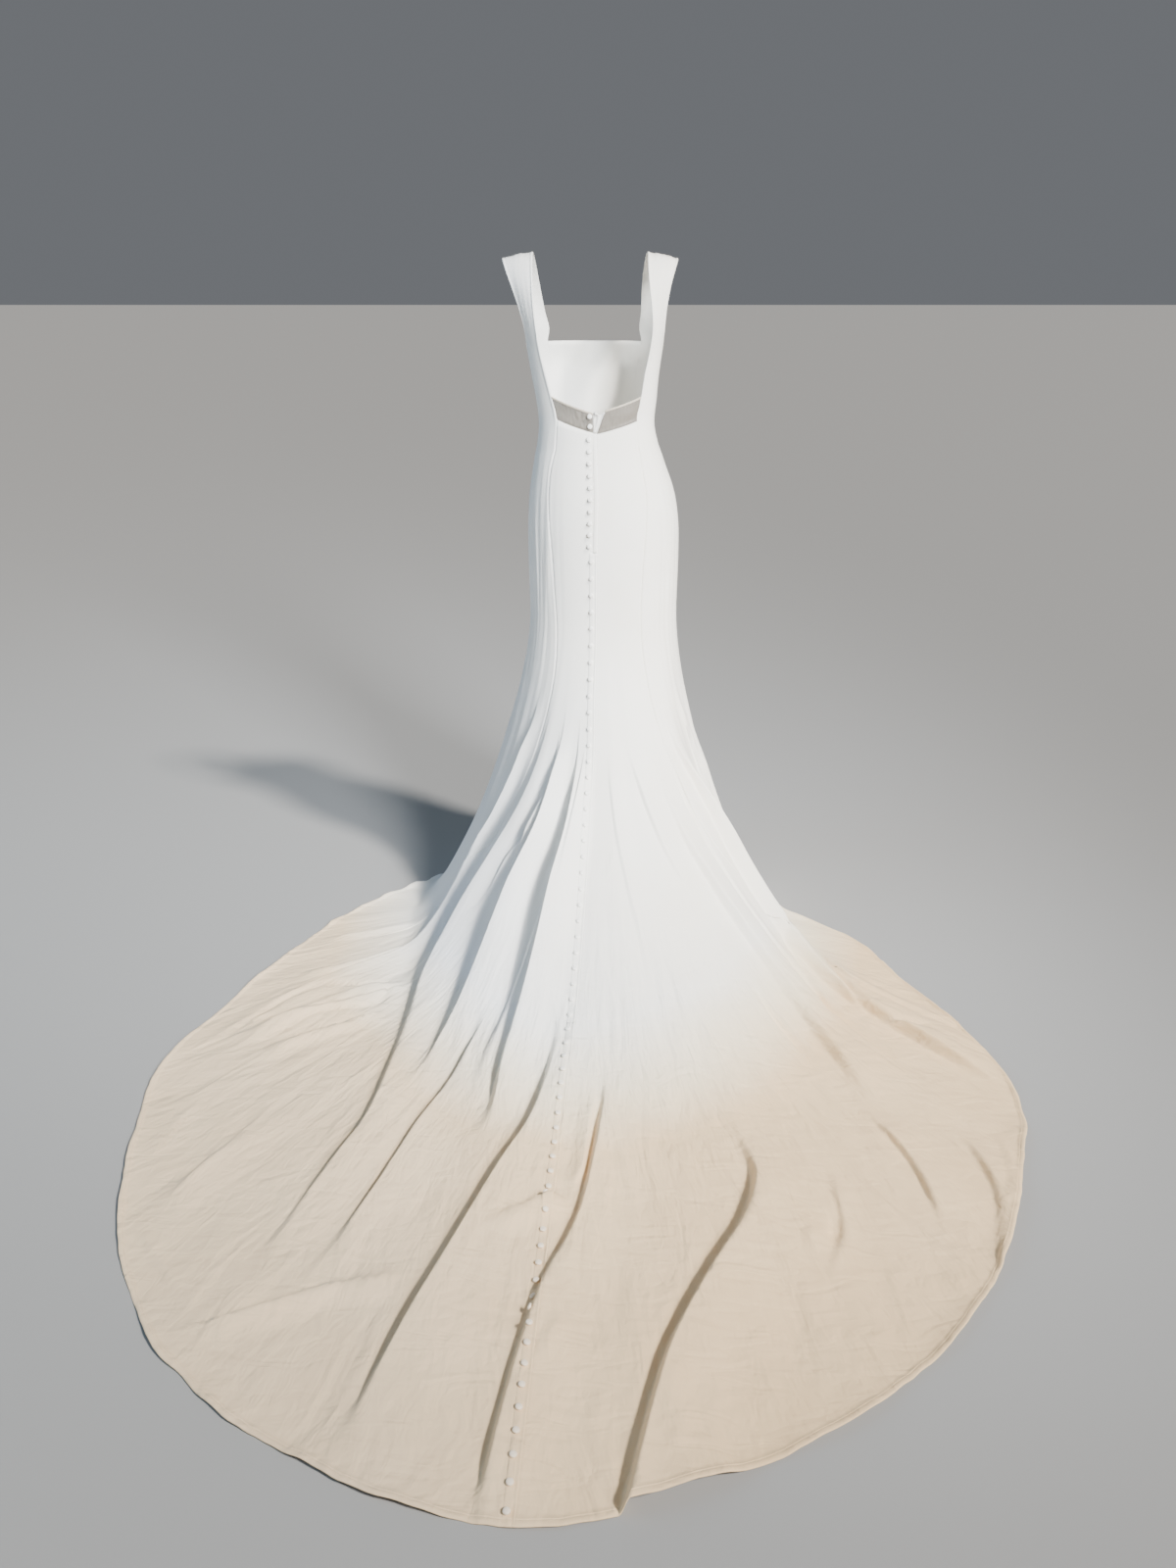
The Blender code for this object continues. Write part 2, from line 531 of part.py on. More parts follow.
def fabric(name, colour):
    material = bpy.data.materials.new(name)
    material.use_nodes = True
    shader = material.node_tree.nodes["Principled BSDF"]
    shader.inputs["Base Color"].default_value = (*colour, 1)
    shader.inputs["Roughness"].default_value = 0.8
    shader.inputs["Metallic"].default_value = 0.0
    return material


def add_object(name, vertices, faces, colour):
    mesh = bpy.data.meshes.new(name)
    mesh.from_pydata([tuple(v) for v in vertices], [], faces)
    shape = bmesh.new()
    shape.from_mesh(mesh)
    bmesh.ops.recalc_face_normals(shape, faces=shape.faces)
    shape.to_mesh(mesh)
    shape.free()
    mesh.shade_smooth()
    mesh.set_sharp_from_angle(angle=math.radians(SHARP_EDGE))
    thing = bpy.data.objects.new(name, mesh)
    bpy.context.scene.collection.objects.link(thing)
    mesh.materials.append(fabric(name, colour))
    return thing


def spot(grid, row, reach=None):
    """The point and direction at a row, whole or not, and at a distance from the grid's first column, or
    else on the second column. It lies on the triangles between the two columns."""
    points, normals = grid
    upper = min(int(row), len(points) - 2)
    down = row - upper
    (a, b), (d, c) = points[upper, :2], points[upper + 1, :2]
    width = np.linalg.norm(b - a) * (1 - down) + np.linalg.norm(c - d) * down
    across = 1 if reach is None else reach / width
    if across < down:
        place = a + down * (d - a) + across * (c - d)
    else:
        place = a + across * (b - a) + down * (c - b)
    normal = (normals[upper, 0] * (1 - down) + normals[upper + 1, 0] * down) * (1 - across)
    normal += (normals[upper, 1] * (1 - down) + normals[upper + 1, 1] * down) * across
    return place, normal / np.linalg.norm(normal)


def facing(grid, row):
    """The direction of the cloth between the first two columns at a row, whole or not, and the sine of the
    hollow angle between the two triangles there."""
    upper = min(int(row), len(grid[0]) - 2)
    (a, b), (d, c) = grid[0][upper, :2], grid[0][upper + 1, :2]
    sides = [np.cross(b - a, c - a), np.cross(c - a, d - a)]
    sides = [side / np.linalg.norm(side) * np.sign(side @ grid[1][upper, 0]) for side in sides]
    normal = sides[0] * (upper + 1 - row) + sides[1] * (row - upper)
    hollow = np.linalg.norm(np.cross(*sides)) if (b + d - a - c) @ normal > 0 else 0
    return normal / np.linalg.norm(normal), hollow


def row_at_height(grid, height):
    heights = grid[0][:, 0, 2]
    upper = int(np.argmax(heights < height)) - 1
    return upper + (heights[upper] - height) / (heights[upper] - heights[upper + 1])


def strip(name, left, right, first, last, reach=None):
    """A strip along the centre-back seam, made from the points of the panels on both sides of it. It
    reaches as far as the given distance, or else to the panels' second columns."""
    rows = [first] + [row for row in range(int(first) + 1, math.ceil(last))] + [last]
    places = []
    for row in rows:
        places.append([spot(right, row, reach), spot(left, row, 0), spot(left, row, reach)])
    points = np.array([[place for place, _ in row] for row in places])
    normals = np.array([[normal for _, normal in row] for row in places])
    return wall(name, points, normals, TRIM_CLOTH, IVORY, TRIM_LIFT + TRIM_CLOTH)


def button_mesh(place, normal, shape, sides):
    """Vertices and faces of one domed button that stands on a place."""
    side = np.cross(normal, (1, 0, 0))
    side /= np.linalg.norm(side)
    other = np.cross(normal, side)
    turns = [2 * math.pi * i / sides for i in range(sides)]
    vertices = [place]
    for high, wide in shape:
        centre = place + normal * high * BUTTON_HEIGHT
        radius = wide * BUTTON_WIDTH / 2
        vertices += [centre + radius * (math.cos(t) * side + math.sin(t) * other) for t in turns]
    vertices.append(place + normal * BUTTON_HEIGHT)
    last = len(vertices) - 1
    faces = []
    for i in range(sides):
        j = (i + 1) % sides
        faces.append((0, 1 + j, 1 + i))
        for ring in range(len(shape) - 1):
            low, high = 1 + ring * sides, 1 + (ring + 1) * sides
            faces += [(low + i, low + j, high + j), (low + i, high + j, high + i)]
        faces.append((last - sides + i, last - sides + j, last))
    return np.array(vertices), faces


def fuse(thing, pieces):
    """Joins many small closed meshes into an object with one Boolean union."""
    vertices, faces = [], []
    for piece_vertices, piece_faces in pieces:
        faces += [tuple(len(vertices) + i for i in face) for face in piece_faces]
        vertices += [(x, y, z - STRAP_HEIGHT) for x, y, z in piece_vertices]
    helper = add_object(thing.name + "_buttons", vertices, faces, IVORY)
    helper.hide_render = True
    helper.display_type = "WIRE"
    union = thing.modifiers.new("buttons", "BOOLEAN")
    union.operation = "UNION"
    union.object = helper


def decorative_rows(left, first):
    """The rows, whole or not, at even distances along the centre back from a first row to the hem."""
    rows = [first] + list(range(int(first) + 1, len(left[0])))
    line = np.array([spot(left, row, 0)[0] for row in rows])
    gone = np.concatenate([[0], np.cumsum(np.linalg.norm(np.diff(line, axis=0), axis=1))])
    pitch = gone[-1] / DECORATIVE_BUTTONS
    return [float(np.interp((i + 0.5) * pitch, gone, rows)) for i in range(DECORATIVE_BUTTONS)]


def widest_split(button_rows, left):
    """The whole row near the middle button that lies furthest from any button."""
    middle = int(button_rows[len(button_rows) // 2])
    choices = range(middle - SPLIT_SEARCH, middle + SPLIT_SEARCH)

    def room(row):
        return min(np.linalg.norm(spot(left, row, 0)[0] - spot(left, r, 0)[0]) for r in button_rows)

    return max(choices, key=room)


def make_closing(left, right, inset):
    """The placket, the strips and the buttons down the centre back."""
    top, end = row_at_height(left, PLACKET_TOP), row_at_height(left, PLACKET_END)
    strip("zip_placket", left, right, top, end, PLACKET_WIDTH / 2)
    start = row_at_height(left, PLACKET_END - 2 * SEAM_GAP)
    rows = decorative_rows(left, start)
    split = widest_split(rows, left)
    spans = {"button_strip_skirt": (start, split), "button_strip_train": (split, len(left[0]) - 1)}
    for name, (first, last) in spans.items():
        carrier = strip(name, left, right, first, last)
        buttons = []
        for row in rows:
            if first < row < last:
                place, (normal, hollow) = spot(left, row, BUTTON_OFFSET)[0], facing(left, row)
                foot = DECORATIVE_SHAPE[0][1] * BUTTON_WIDTH / 2
                place = place + normal * (TRIM_LIFT + TRIM_CLOTH - SUNK + foot * hollow / 2)
                buttons.append(button_mesh(place, normal, DECORATIVE_SHAPE, DECORATIVE_SIDES))
        fuse(carrier, buttons)
    places = [(inset, height, INSET_BUTTON_OFFSET, lift) for height, lift in INSET_BUTTONS]
    places += [(left, height, CLOSING_OFFSET, BUTTON_LIFT) for height in CLOSING_HEIGHTS]
    for number, (grid, height, reach, lift) in enumerate(places, 1):
        place, normal = spot(grid, row_at_height(grid, height), reach)
        vertices, faces = button_mesh(place + normal * lift, normal, CLOSING_SHAPE, CLOSING_SIDES)
        vertices[:, 2] -= STRAP_HEIGHT
        add_object(f"button_{number:02d}", vertices, faces, IVORY)


def inset_grid(side, angle_low, angle_high, height_zip, height_strap):
    """Points of a sheer inset, from the zip outwards, between the back panel's top and the bound edge."""
    low, corner = CENTRE_BACK_TOP
    middle, end = seam_angle(CENTRE_BACK, low), side * SIDE_BACK_ROWS[-1][0]
    low += (corner - low) * (angle_low - middle) / (end - middle)
    share = np.linspace(0, 1, ILLUSION_COLUMNS)
    rows = []
    for up in np.linspace(1, 0, ILLUSION_ROWS):
        near = (angle_low + (angle_high - angle_low) * up, low + (height_zip - low) * up)
        far_height = corner + (height_strap - corner) * up
        edge = [(height, angle) for angle, height, _ in reversed(SIDE_BACK_ROWS)]
        far = (side * (float(np.interp(far_height, *zip(*edge))) - ILLUSION_EASE), far_height)
        rows.append([(near[0] + (far[0] - near[0]) * s, near[1] + (far[1] - near[1]) * s) for s in share])
    rows = np.array(rows)
    angles, levels = rows[..., 0], BREAK_HEIGHT - rows[..., 1]
    return plain_point(angles, levels), direction(plain_point, angles, levels)


def make_insets():
    """The two sheer insets, each with the narrow binding of its top edge; returns the +X one's grid."""
    grids = {}
    for side, *sizes in ILLUSION:
        word = "left" if side > 0 else "right"
        points, normals = grids[side] = inset_grid(side, *sizes)
        wall(f"illusion_{word}", points, normals, MESH_CLOTH, SHEER)
        down = points[1] - points[0]
        down /= np.linalg.norm(down, axis=-1, keepdims=True)
        edge = np.stack([points[0], points[0] + down * BINDING_WIDTH])
        across = np.stack([normals[0], normals[0]])
        wall(f"illusion_binding_{word}", edge, across, BINDING_CLOTH, WHITE, SEAM_GAP + BINDING_CLOTH)
    return grids[1]


def make_zip():
    levels = BREAK_HEIGHT - np.linspace(ZIP_TOP, ZIP_LOW, ILLUSION_ROWS)
    angles = np.full_like(levels, seam_angle(CENTRE_BACK, ZIP_LOW))
    middle, normals = plain_point(angles, levels), direction(plain_point, angles, levels)
    edges = (-ZIP_WIDTH / 2, ZIP_WIDTH / 2)
    points = np.array([[(x, place[1], place[2]) for x in edges] for place in middle])
    wall("zip", points, np.stack([normals, normals], 1), TRIM_CLOTH, WHITE)


def clear_scene():
    for thing in list(bpy.data.objects):
        bpy.data.objects.remove(thing)


def main():
    clear_scene()
    left, right = centre_back(1), centre_back(-1)
    wall("centre_back_left", *left, CLOTH, IVORY)
    wall("centre_back_right", *right, CLOTH, IVORY)
    wall("centre_front", *centre_front(), CLOTH, IVORY)
    for side, word in ((1, "left"), (-1, "right")):
        back, front = side_panels(side)
        wall(f"side_back_{word}", *back, CLOTH, IVORY)
        wall(f"side_front_{word}", *front, CLOTH, IVORY)
    inset = make_insets()
    make_zip()
    make_closing(left, tuple(part[:, ::-1] for part in right), inset)


main()
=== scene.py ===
"""The looks of the wedding dress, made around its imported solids."""

import math

import bpy
import numpy as np
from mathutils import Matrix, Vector


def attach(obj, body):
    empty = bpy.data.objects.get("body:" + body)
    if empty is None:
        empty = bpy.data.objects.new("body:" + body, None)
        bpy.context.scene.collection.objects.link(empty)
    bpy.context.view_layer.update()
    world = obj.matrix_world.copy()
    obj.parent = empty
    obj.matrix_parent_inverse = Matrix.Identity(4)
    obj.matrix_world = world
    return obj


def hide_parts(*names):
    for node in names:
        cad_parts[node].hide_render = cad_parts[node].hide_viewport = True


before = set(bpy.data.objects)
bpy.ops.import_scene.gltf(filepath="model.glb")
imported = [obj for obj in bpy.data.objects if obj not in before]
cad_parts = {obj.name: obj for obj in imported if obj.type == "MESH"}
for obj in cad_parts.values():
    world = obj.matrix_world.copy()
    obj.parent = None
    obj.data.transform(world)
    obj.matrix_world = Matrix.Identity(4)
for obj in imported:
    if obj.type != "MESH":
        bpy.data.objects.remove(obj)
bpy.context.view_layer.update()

# The sizes, tables and surface functions from here to crest_line repeat those of the part's source.

# ---- Driving sizes, in metres and degrees ----

STRAP_HEIGHT = 1.491  # underside of the straps at the shoulder seams, above the floor
BREAK_HEIGHT = 0.74  # where the skirt leaves the thighs and starts to flare
CLOTH = 0.002  # wall of the crepe panels
PROBE = 0.004  # step for measuring the surface's direction, metres and about half as many degrees

SECTION_POWER = 2.25  # roundness of the body's sections: 2 is an ellipse, more is squarer

# The body's sections, from thigh to chest.
TORSO = [  # height, half width, centre x, front depth, back depth
    (0.70, 0.168, -0.020, 0.104, 0.1390),
    (0.78, 0.169, -0.020, 0.106, 0.1385),
    (0.87, 0.170, -0.020, 0.108, 0.1380),
    (0.94, 0.169, -0.019, 0.110, 0.1350),
    (1.00, 0.162, -0.016, 0.112, 0.1260),
    (1.07, 0.144, -0.009, 0.108, 0.1060),
    (1.14, 0.127, -0.004, 0.101, 0.086),
    (1.20, 0.132, -0.003, 0.108, 0.083),
    (1.26, 0.140, 0.000, 0.116, 0.090),
    (1.32, 0.149, 0.001, 0.112, 0.098),
    (1.40, 0.160, 0.004, 0.100, 0.100),
]
HALF_WIDTH, CENTRE_X, FRONT_DEPTH, BACK_DEPTH = 1, 2, 3, 4

# The two soft cups that the princess seams shape.
BUST_X = 0.080
BUST_HEIGHT = 1.262
BUST_SPREAD = 0.058
BUST_LIFT = 0.024

# How the skirt falls at each angle, measured from the train's middle (+Y) towards +X. Each fall is a cubic
# curve: it leaves the thigh straight down for a third of the drop pull, and meets the floor at the landing
# radius, coming in at the floor slope.
FALL = [  # angle, landing radius, drop pull, floor pull, floor slope
    (-180, 0.335, 0.22, 0.10, 62),
    (-150, 0.340, 0.22, 0.10, 60),
    (-120, 0.365, 0.22, 0.10, 55),
    (-90, 0.430, 0.22, 0.09, 30),
    (-72, 0.450, 0.23, 0.12, 12),
    (-58, 0.600, 0.24, 0.22, 0),
    (-45, 0.780, 0.25, 0.32, 0),
    (-30, 0.930, 0.27, 0.42, 0),
    (-15, 1.050, 0.28, 0.48, 0),
    (0, 1.100, 0.28, 0.50, 0),
    (15, 1.000, 0.28, 0.46, 0),
    (30, 0.800, 0.26, 0.34, 0),
    (45, 0.620, 0.25, 0.24, 0),
    (60, 0.520, 0.24, 0.16, 2),
    (75, 0.460, 0.23, 0.11, 12),
    (90, 0.415, 0.22, 0.09, 30),
    (120, 0.360, 0.22, 0.10, 55),
    (150, 0.340, 0.22, 0.10, 60),
    (180, 0.335, 0.22, 0.10, 62),
]
LANDING, DROP_PULL, FLOOR_PULL, FLOOR_SLOPE = 1, 2, 3, 4

HEM = [  # angle, radius of the hem from the body's axis
    (-180, 0.335), (-150, 0.340), (-120, 0.365), (-95, 0.420), (-82, 0.440), (-73, 0.500), (-65, 0.670),
    (-54, 0.859), (-48, 1.035), (-42, 1.205), (-33, 1.361), (-24, 1.530), (-14, 1.677), (-6, 1.760),
    (3.5, 1.833), (13, 1.778), (20, 1.708), (28, 1.582), (33, 1.476), (39, 1.340), (47, 1.180), (53, 1.009),
    (61, 0.830), (73, 0.658), (85, 0.511), (97, 0.412), (120, 0.360), (150, 0.340), (180, 0.335),
]

# Where the seams run. The level is minus the height above the break on the body, and on the skirt the share
# of the way from the break to the hem. The other columns are angles.
SEAMS = [  # level, centre back, back left, back right, side left, side right, front left, front right
    (-0.56, 2, 40, -40, 90, -90, 137, -137),
    (-0.39, 2, 40, -40, 90, -90, 143, -143),
    (-0.30, 3, 45, -36, 90, -90, 143, -143),
    (-0.15, 5, 41, -29, 90, -90, 143, -143),
    (0.00, 5, 37, -27, 90, -90, 143, -143),
    (0.10, 5, 34, -28, 90, -90, 141, -141),
    (0.20, 4, 37, -31, 91, -91, 139, -139),
    (0.33, 4, 47, -37, 92, -92, 137, -137),
    (0.48, 4, 58, -46, 93, -93, 135, -135),
    (1.00, 3.5, 62, -49, 93, -93, 132, -132),
]
CENTRE_BACK, BACK_L, BACK_R, SIDE_L, SIDE_R, FRONT_L, FRONT_R = 1, 2, 3, 4, 5, 6, 7

# The large folds of the skirt and train. Each has a crest that runs through points seen from above, x and y
# in metres. It stands up from the cloth by its height, falls steeply towards +X and gently towards -X, and
# fades in and out over the given lengths. Nearer the body than FULL_WIDTH_RADIUS its widths shrink.
FOLDS = [  # name, height, steep width, gentle width, fade in, fade out, crest
    ("side left", 0.022, 0.060, 0.090, 0.20, 0.30,
     [(0.12, 0.12), (0.17, 0.15), (0.23, 0.17), (0.30, 0.20), (0.42, 0.34), (0.62, 0.50), (0.78, 0.65)]),
    ("low left", 0.014, 0.050, 0.090, 0.16, 0.26, [(0.34, 0.45), (0.50, 0.57), (0.64, 0.64), (0.77, 0.72)]),
    ("third left", 0.036, 0.060, 0.110, 0.26, 0.40,
     [(0.09, 0.15), (0.15, 0.23), (0.22, 0.29), (0.30, 0.37), (0.36, 0.50), (0.39, 0.70), (0.42, 0.98),
      (0.48, 1.17), (0.56, 1.42)]),
    ("second left", 0.042, 0.060, 0.100, 0.28, 0.26,
     [(0.06, 0.17), (0.11, 0.31), (0.16, 0.39), (0.21, 0.49), (0.27, 0.65), (0.32, 0.78), (0.35, 0.92)]),
    ("split left", 0.028, 0.040, 0.110, 0.16, 0.30,
     [(0.21, 0.66), (0.26, 0.82), (0.32, 0.98), (0.37, 1.16), (0.42, 1.30), (0.48, 1.44)]),
    ("first left", 0.048, 0.065, 0.100, 0.30, 0.16,
     [(0.03, 0.19), (0.05, 0.34), (0.09, 0.50), (0.13, 0.66), (0.17, 0.83), (0.20, 1.02)]),
    ("long left", 0.044, 0.052, 0.170, 0.26, 0.30,
     [(0.06, 0.70), (0.10, 0.94), (0.17, 1.14), (0.24, 1.35), (0.30, 1.54), (0.37, 1.77)]),
    ("centre", 0.030, 0.040, 0.120, 0.22, 0.12,
     [(-0.03, 0.84), (0.00, 1.08), (0.03, 1.26), (0.08, 1.40), (0.12, 1.58), (0.16, 1.84)]),
    ("hem right", 0.044, 0.052, 0.190, 0.26, 0.001,
     [(-0.25, 0.98), (-0.28, 1.13), (-0.25, 1.26), (-0.17, 1.41), (-0.10, 1.57), (-0.03, 1.84)]),
    ("first right", 0.024, 0.080, 0.140, 0.34, 0.22,
     [(-0.11, 0.19), (-0.20, 0.32), (-0.29, 0.41), (-0.39, 0.53), (-0.47, 0.70), (-0.54, 0.96)]),
    ("second right", 0.038, 0.070, 0.120, 0.20, 0.24,
     [(-0.14, 0.14), (-0.19, 0.18), (-0.24, 0.20), (-0.31, 0.24), (-0.41, 0.33), (-0.52, 0.50),
      (-0.66, 0.70), (-0.83, 0.92)]),
    ("side right", 0.009, 0.070, 0.090, 0.10, 0.24,
     [(-0.18, 0.09), (-0.22, 0.10), (-0.27, 0.11), (-0.36, 0.12), (-0.48, 0.14)]),
    ("cross left", 0.016, 0.036, 0.060, 0.10, 0.16,
     [(0.28, 1.37), (0.42, 1.41), (0.52, 1.46), (0.65, 1.52)]),
    ("edge left", 0.011, 0.045, 0.080, 0.12, 0.10, [(0.60, 0.92), (0.68, 1.10), (0.76, 1.26)]),
    ("low right", 0.018, 0.036, 0.090, 0.12, 0.14, [(-0.50, 0.94), (-0.56, 1.10), (-0.58, 1.31)]),
    ("edge right", 0.017, 0.045, 0.080, 0.12, 0.08, [(-0.67, 1.01), (-0.69, 1.18), (-0.63, 1.41)]),
    ("small right", 0.010, 0.030, 0.060, 0.08, 0.08, [(-0.41, 1.12), (-0.41, 1.26), (-0.36, 1.40)]),
    ("front left", 0.022, 0.090, 0.120, 0.12, 0.02, [(0.09, -0.12), (0.14, -0.21), (0.19, -0.31)]),
    ("front right", 0.019, 0.090, 0.120, 0.12, 0.02, [(-0.11, -0.12), (-0.15, -0.20), (-0.20, -0.30)]),
    ("front middle", 0.013, 0.090, 0.100, 0.12, 0.02, [(0.00, -0.14), (0.01, -0.24), (0.02, -0.36)]),
]
FULL_WIDTH_RADIUS = 0.70
LEAST_WIDTH = 0.30  # the share of its widths that a fold keeps nearest the body
FOLD_START = 0.06  # level where the folds reach their full height
CREST_STEPS = 4  # straight pieces between two points of a crest

BODY_TOP = 1.10  # the highest row of points that all panels share

# The rows above the waist. A row may climb from one edge of its panel to the other.
CENTRE_BACK_TOP = (1.136, 1.162)  # height at the centre-back seam, and at the corner with the strap
SIDE_BACK_ROWS = [  # angle of the back opening's edge, its height, height at the side seam
    (51.0, 1.300, 1.300),
    (48.0, 1.260, 1.250),
    (44.6, 1.212, 1.200),
    (40.0, 1.162, 1.150),
]
FRONT_ROWS = [  # height at the front princess seam, height at the side seam
    (1.315, 1.300),
    (1.265, 1.250),
    (1.210, 1.200),
    (1.155, 1.150),
]

# A shoulder strap, from the back over the shoulder to the front. The columns give its inner edge, by the
# neck, and its outer edge, by the arm.
STRAP = [  # inner x, inner y, inner height, outer x, outer y, outer height
    (0.125, 0.069, 1.345, 0.152, 0.030, 1.345),
    (0.130, 0.072, 1.390, 0.163, 0.043, 1.390),
    (0.132, 0.066, 1.435, 0.177, 0.044, 1.430),
    (0.1325, 0.046, 1.475, 0.190, 0.032, 1.463),
    (0.1325, 0.020, 1.496, 0.197, 0.014, 1.482),
    (0.132, -0.004, 1.500, 0.199, -0.004, 1.487),
    (0.131, -0.028, 1.494, 0.196, -0.024, 1.480),
    (0.127, -0.054, 1.468, 0.186, -0.044, 1.458),
    (0.120, -0.077, 1.425, 0.168, -0.058, 1.420),
    (0.111, -0.094, 1.375, 0.153, -0.056, 1.375),
    (0.103, -0.101, 1.342, 0.148, -0.034, 1.337),
]
SHOULDER_ROW = 5  # the row of STRAP that is the shoulder seam
STRAP_CROWN = 0.003  # how far the middle of a strap stands off a straight line
RIGHT_SHIFT = 0.022  # how much nearer the neck the right strap lies at the shoulder than the left one
SHIFT_FROM, SHIFT_TO = 1.30, 1.48  # heights between which it moves over

# The sheer insets in the low back.
ILLUSION = [  # side, angle at the bottom, angle at the top, height by the zip, height by the strap
    (1, 2.9, 2.9, 1.178, 1.210),
    (-1, -0.2, -6.5, 1.184, 1.210),
]
BINDING_WIDTH = 0.005

# The centre-back closing.
ZIP_TOP, ZIP_LOW = 1.176, 1.1373
PLACKET_WIDTH = 0.009
PLACKET_TOP = 1.134
PLACKET_END = 0.885  # height where the zip ends and the strip of decorative buttons begins
BUTTON_WIDTH = 0.0108
BUTTON_HEIGHT = 0.0052
BUTTON_OFFSET = 0.0085  # from the centre-back seam to a decorative button's middle
CLOSING_OFFSET = 0.0130  # the same for a closing button
CLOSING_HEIGHTS = [1.122 - 0.0247 * i for i in range(10)]
INSET_BUTTONS = [  # height, clear height over the mesh: the first lies on the binding
    (1.171, 0.0020),
    (1.150, 0.0005),
]
INSET_BUTTON_OFFSET = 0.006  # from the inset's edge by the zip
DECORATIVE_BUTTONS = 58


# ---- The surface of the dress ----


def smooth(table, column, keys):
    """Reads a table's column at keys of its first column, along a smooth curve through the rows."""
    rows = np.array([row[: column + 1] for row in table], float)
    key, value = rows[:, 0], rows[:, column]
    keys = np.clip(keys, key[0], key[-1])
    step = np.diff(key)
    slope = np.diff(value) / step
    tangent = np.concatenate([slope[:1], (slope[1:] + slope[:-1]) / 2, slope[-1:]])
    tangent[1:-1][slope[1:] * slope[:-1] <= 0] = 0
    i = np.clip(np.searchsorted(key, keys, side="right") - 1, 0, len(step) - 1)
    t = (keys - key[i]) / step[i]
    start = (1 + 2 * t) * (1 - t) ** 2 * value[i] + t * (1 - t) ** 2 * step[i] * tangent[i]
    end = t**2 * (3 - 2 * t) * value[i + 1] + t**2 * (t - 1) * step[i] * tangent[i + 1]
    return start + end


def body_point(angle, height):
    """A point of the close-fitting part, from the angle round the body and the height above the floor."""
    sin, cos = np.sin(np.radians(angle)), np.cos(np.radians(angle))
    depth = np.where(cos > 0, smooth(TORSO, BACK_DEPTH, height), smooth(TORSO, FRONT_DEPTH, height))
    x = smooth(TORSO, HALF_WIDTH, height) * np.sign(sin) * np.abs(sin) ** (2 / SECTION_POWER)
    y = depth * np.sign(cos) * np.abs(cos) ** (2 / SECTION_POWER)
    for cup_x in (-BUST_X, BUST_X):
        away = ((x - cup_x) ** 2 + (height - BUST_HEIGHT) ** 2) / BUST_SPREAD**2
        y = y - np.where(cos < 0, BUST_LIFT * np.exp(-away), 0)
    return np.stack([x + smooth(TORSO, CENTRE_X, height), y, height + 0 * x], -1)


def skirt_point(angle, level):
    """A point of the skirt without its folds. Level 0 is the break and level 1 the hem."""
    start = body_point(angle, np.full_like(angle, BREAK_HEIGHT))
    angle = (angle + 180) % 360 - 180
    out = np.stack([np.sin(np.radians(angle)), np.cos(np.radians(angle))], -1)
    hem_radius = smooth(HEM, 1, angle)
    on_floor = hem_radius - np.minimum(smooth(FALL, LANDING, angle), hem_radius)
    reach = out * hem_radius[..., None] - start[..., :2]
    length = np.linalg.norm(reach, axis=-1)
    landing = length - on_floor
    fall = np.hypot(landing, BREAK_HEIGHT)
    share = fall / (fall + on_floor)  # the share of the levels that stands off the floor
    t = np.minimum(level / share, 1)
    flat = np.clip((level - share) / np.maximum(1 - share, 1e-6), 0, 1) * (share < 1)
    pull = smooth(FALL, FLOOR_PULL, angle)
    slope = np.radians(smooth(FALL, FLOOR_SLOPE, angle))
    second, third, last = 3 * t * (1 - t) ** 2, 3 * t**2 * (1 - t), t**3
    away = third * (landing - pull * np.cos(slope)) + last * landing
    height = (1 - t) ** 3 * BREAK_HEIGHT + second * (BREAK_HEIGHT - smooth(FALL, DROP_PULL, angle))
    height += third * (CLOTH + pull * np.sin(slope)) + last * CLOTH
    plan = start[..., :2] + reach / length[..., None] * (away + flat * on_floor)[..., None]
    return np.concatenate([plan, height[..., None]], -1)


def plain_point(angle, level):
    """A point of the cloth without its folds: on the body where the level is below 0, else on the skirt."""
    body = body_point(angle, BREAK_HEIGHT - np.minimum(level, 0))
    return np.where((level < 0)[..., None], body, skirt_point(angle, np.clip(level, 0, 1)))


def direction(surface, angle, level):
    """The unit outward direction of a surface, given as a function of angle and level."""
    across = surface(angle + 100 * PROBE, level) - surface(angle - 100 * PROBE, level)
    last = np.minimum(level + PROBE, 1)
    down = surface(angle, last) - surface(angle, last - 2 * PROBE)
    normal = np.cross(across, down)
    return normal / np.linalg.norm(normal, axis=-1, keepdims=True)


def crest_line(points):
    """A smooth line through a crest's points."""
    points = np.array(points)
    key = np.arange(len(points))
    fine = np.linspace(0, key[-1], CREST_STEPS * key[-1] + 1)
    return np.stack([smooth(list(zip(key, points[:, i])), 1, fine) for i in (0, 1)], -1)


# ---- Small functions that the rest shares ----


def rise(value, start, width):
    """0 up to a start, and from there evenly up to 1 over a width."""
    return np.clip((value - start) / width, 0, 1)


def unit(vectors):
    return vectors / np.linalg.norm(vectors, axis=-1, keepdims=True)


def steps_of(points, axis=0):
    """The distances between neighbouring points."""
    return np.linalg.norm(np.diff(points, axis=axis), axis=-1)


def from_zero(steps):
    """The way gone after each step, with 0 first."""
    return np.concatenate([[0], np.cumsum(steps)])


# ---- The camera, and places seen in it ----

FOCAL = 1350.0  # in pixels of the 1200 x 1600 picture
PICTURE = (1200, 1600)
EYE = (0.0155, 3.03, 1.50)  # height above the floor last
PITCH = math.radians(21.9)
SEARCHED, SEARCH_GRID = 110, (661, 501)  # degrees to both sides of the back, and the points tried
NEARNESS = 2  # how many pixels a place may be off for each metre that it lies nearer the camera


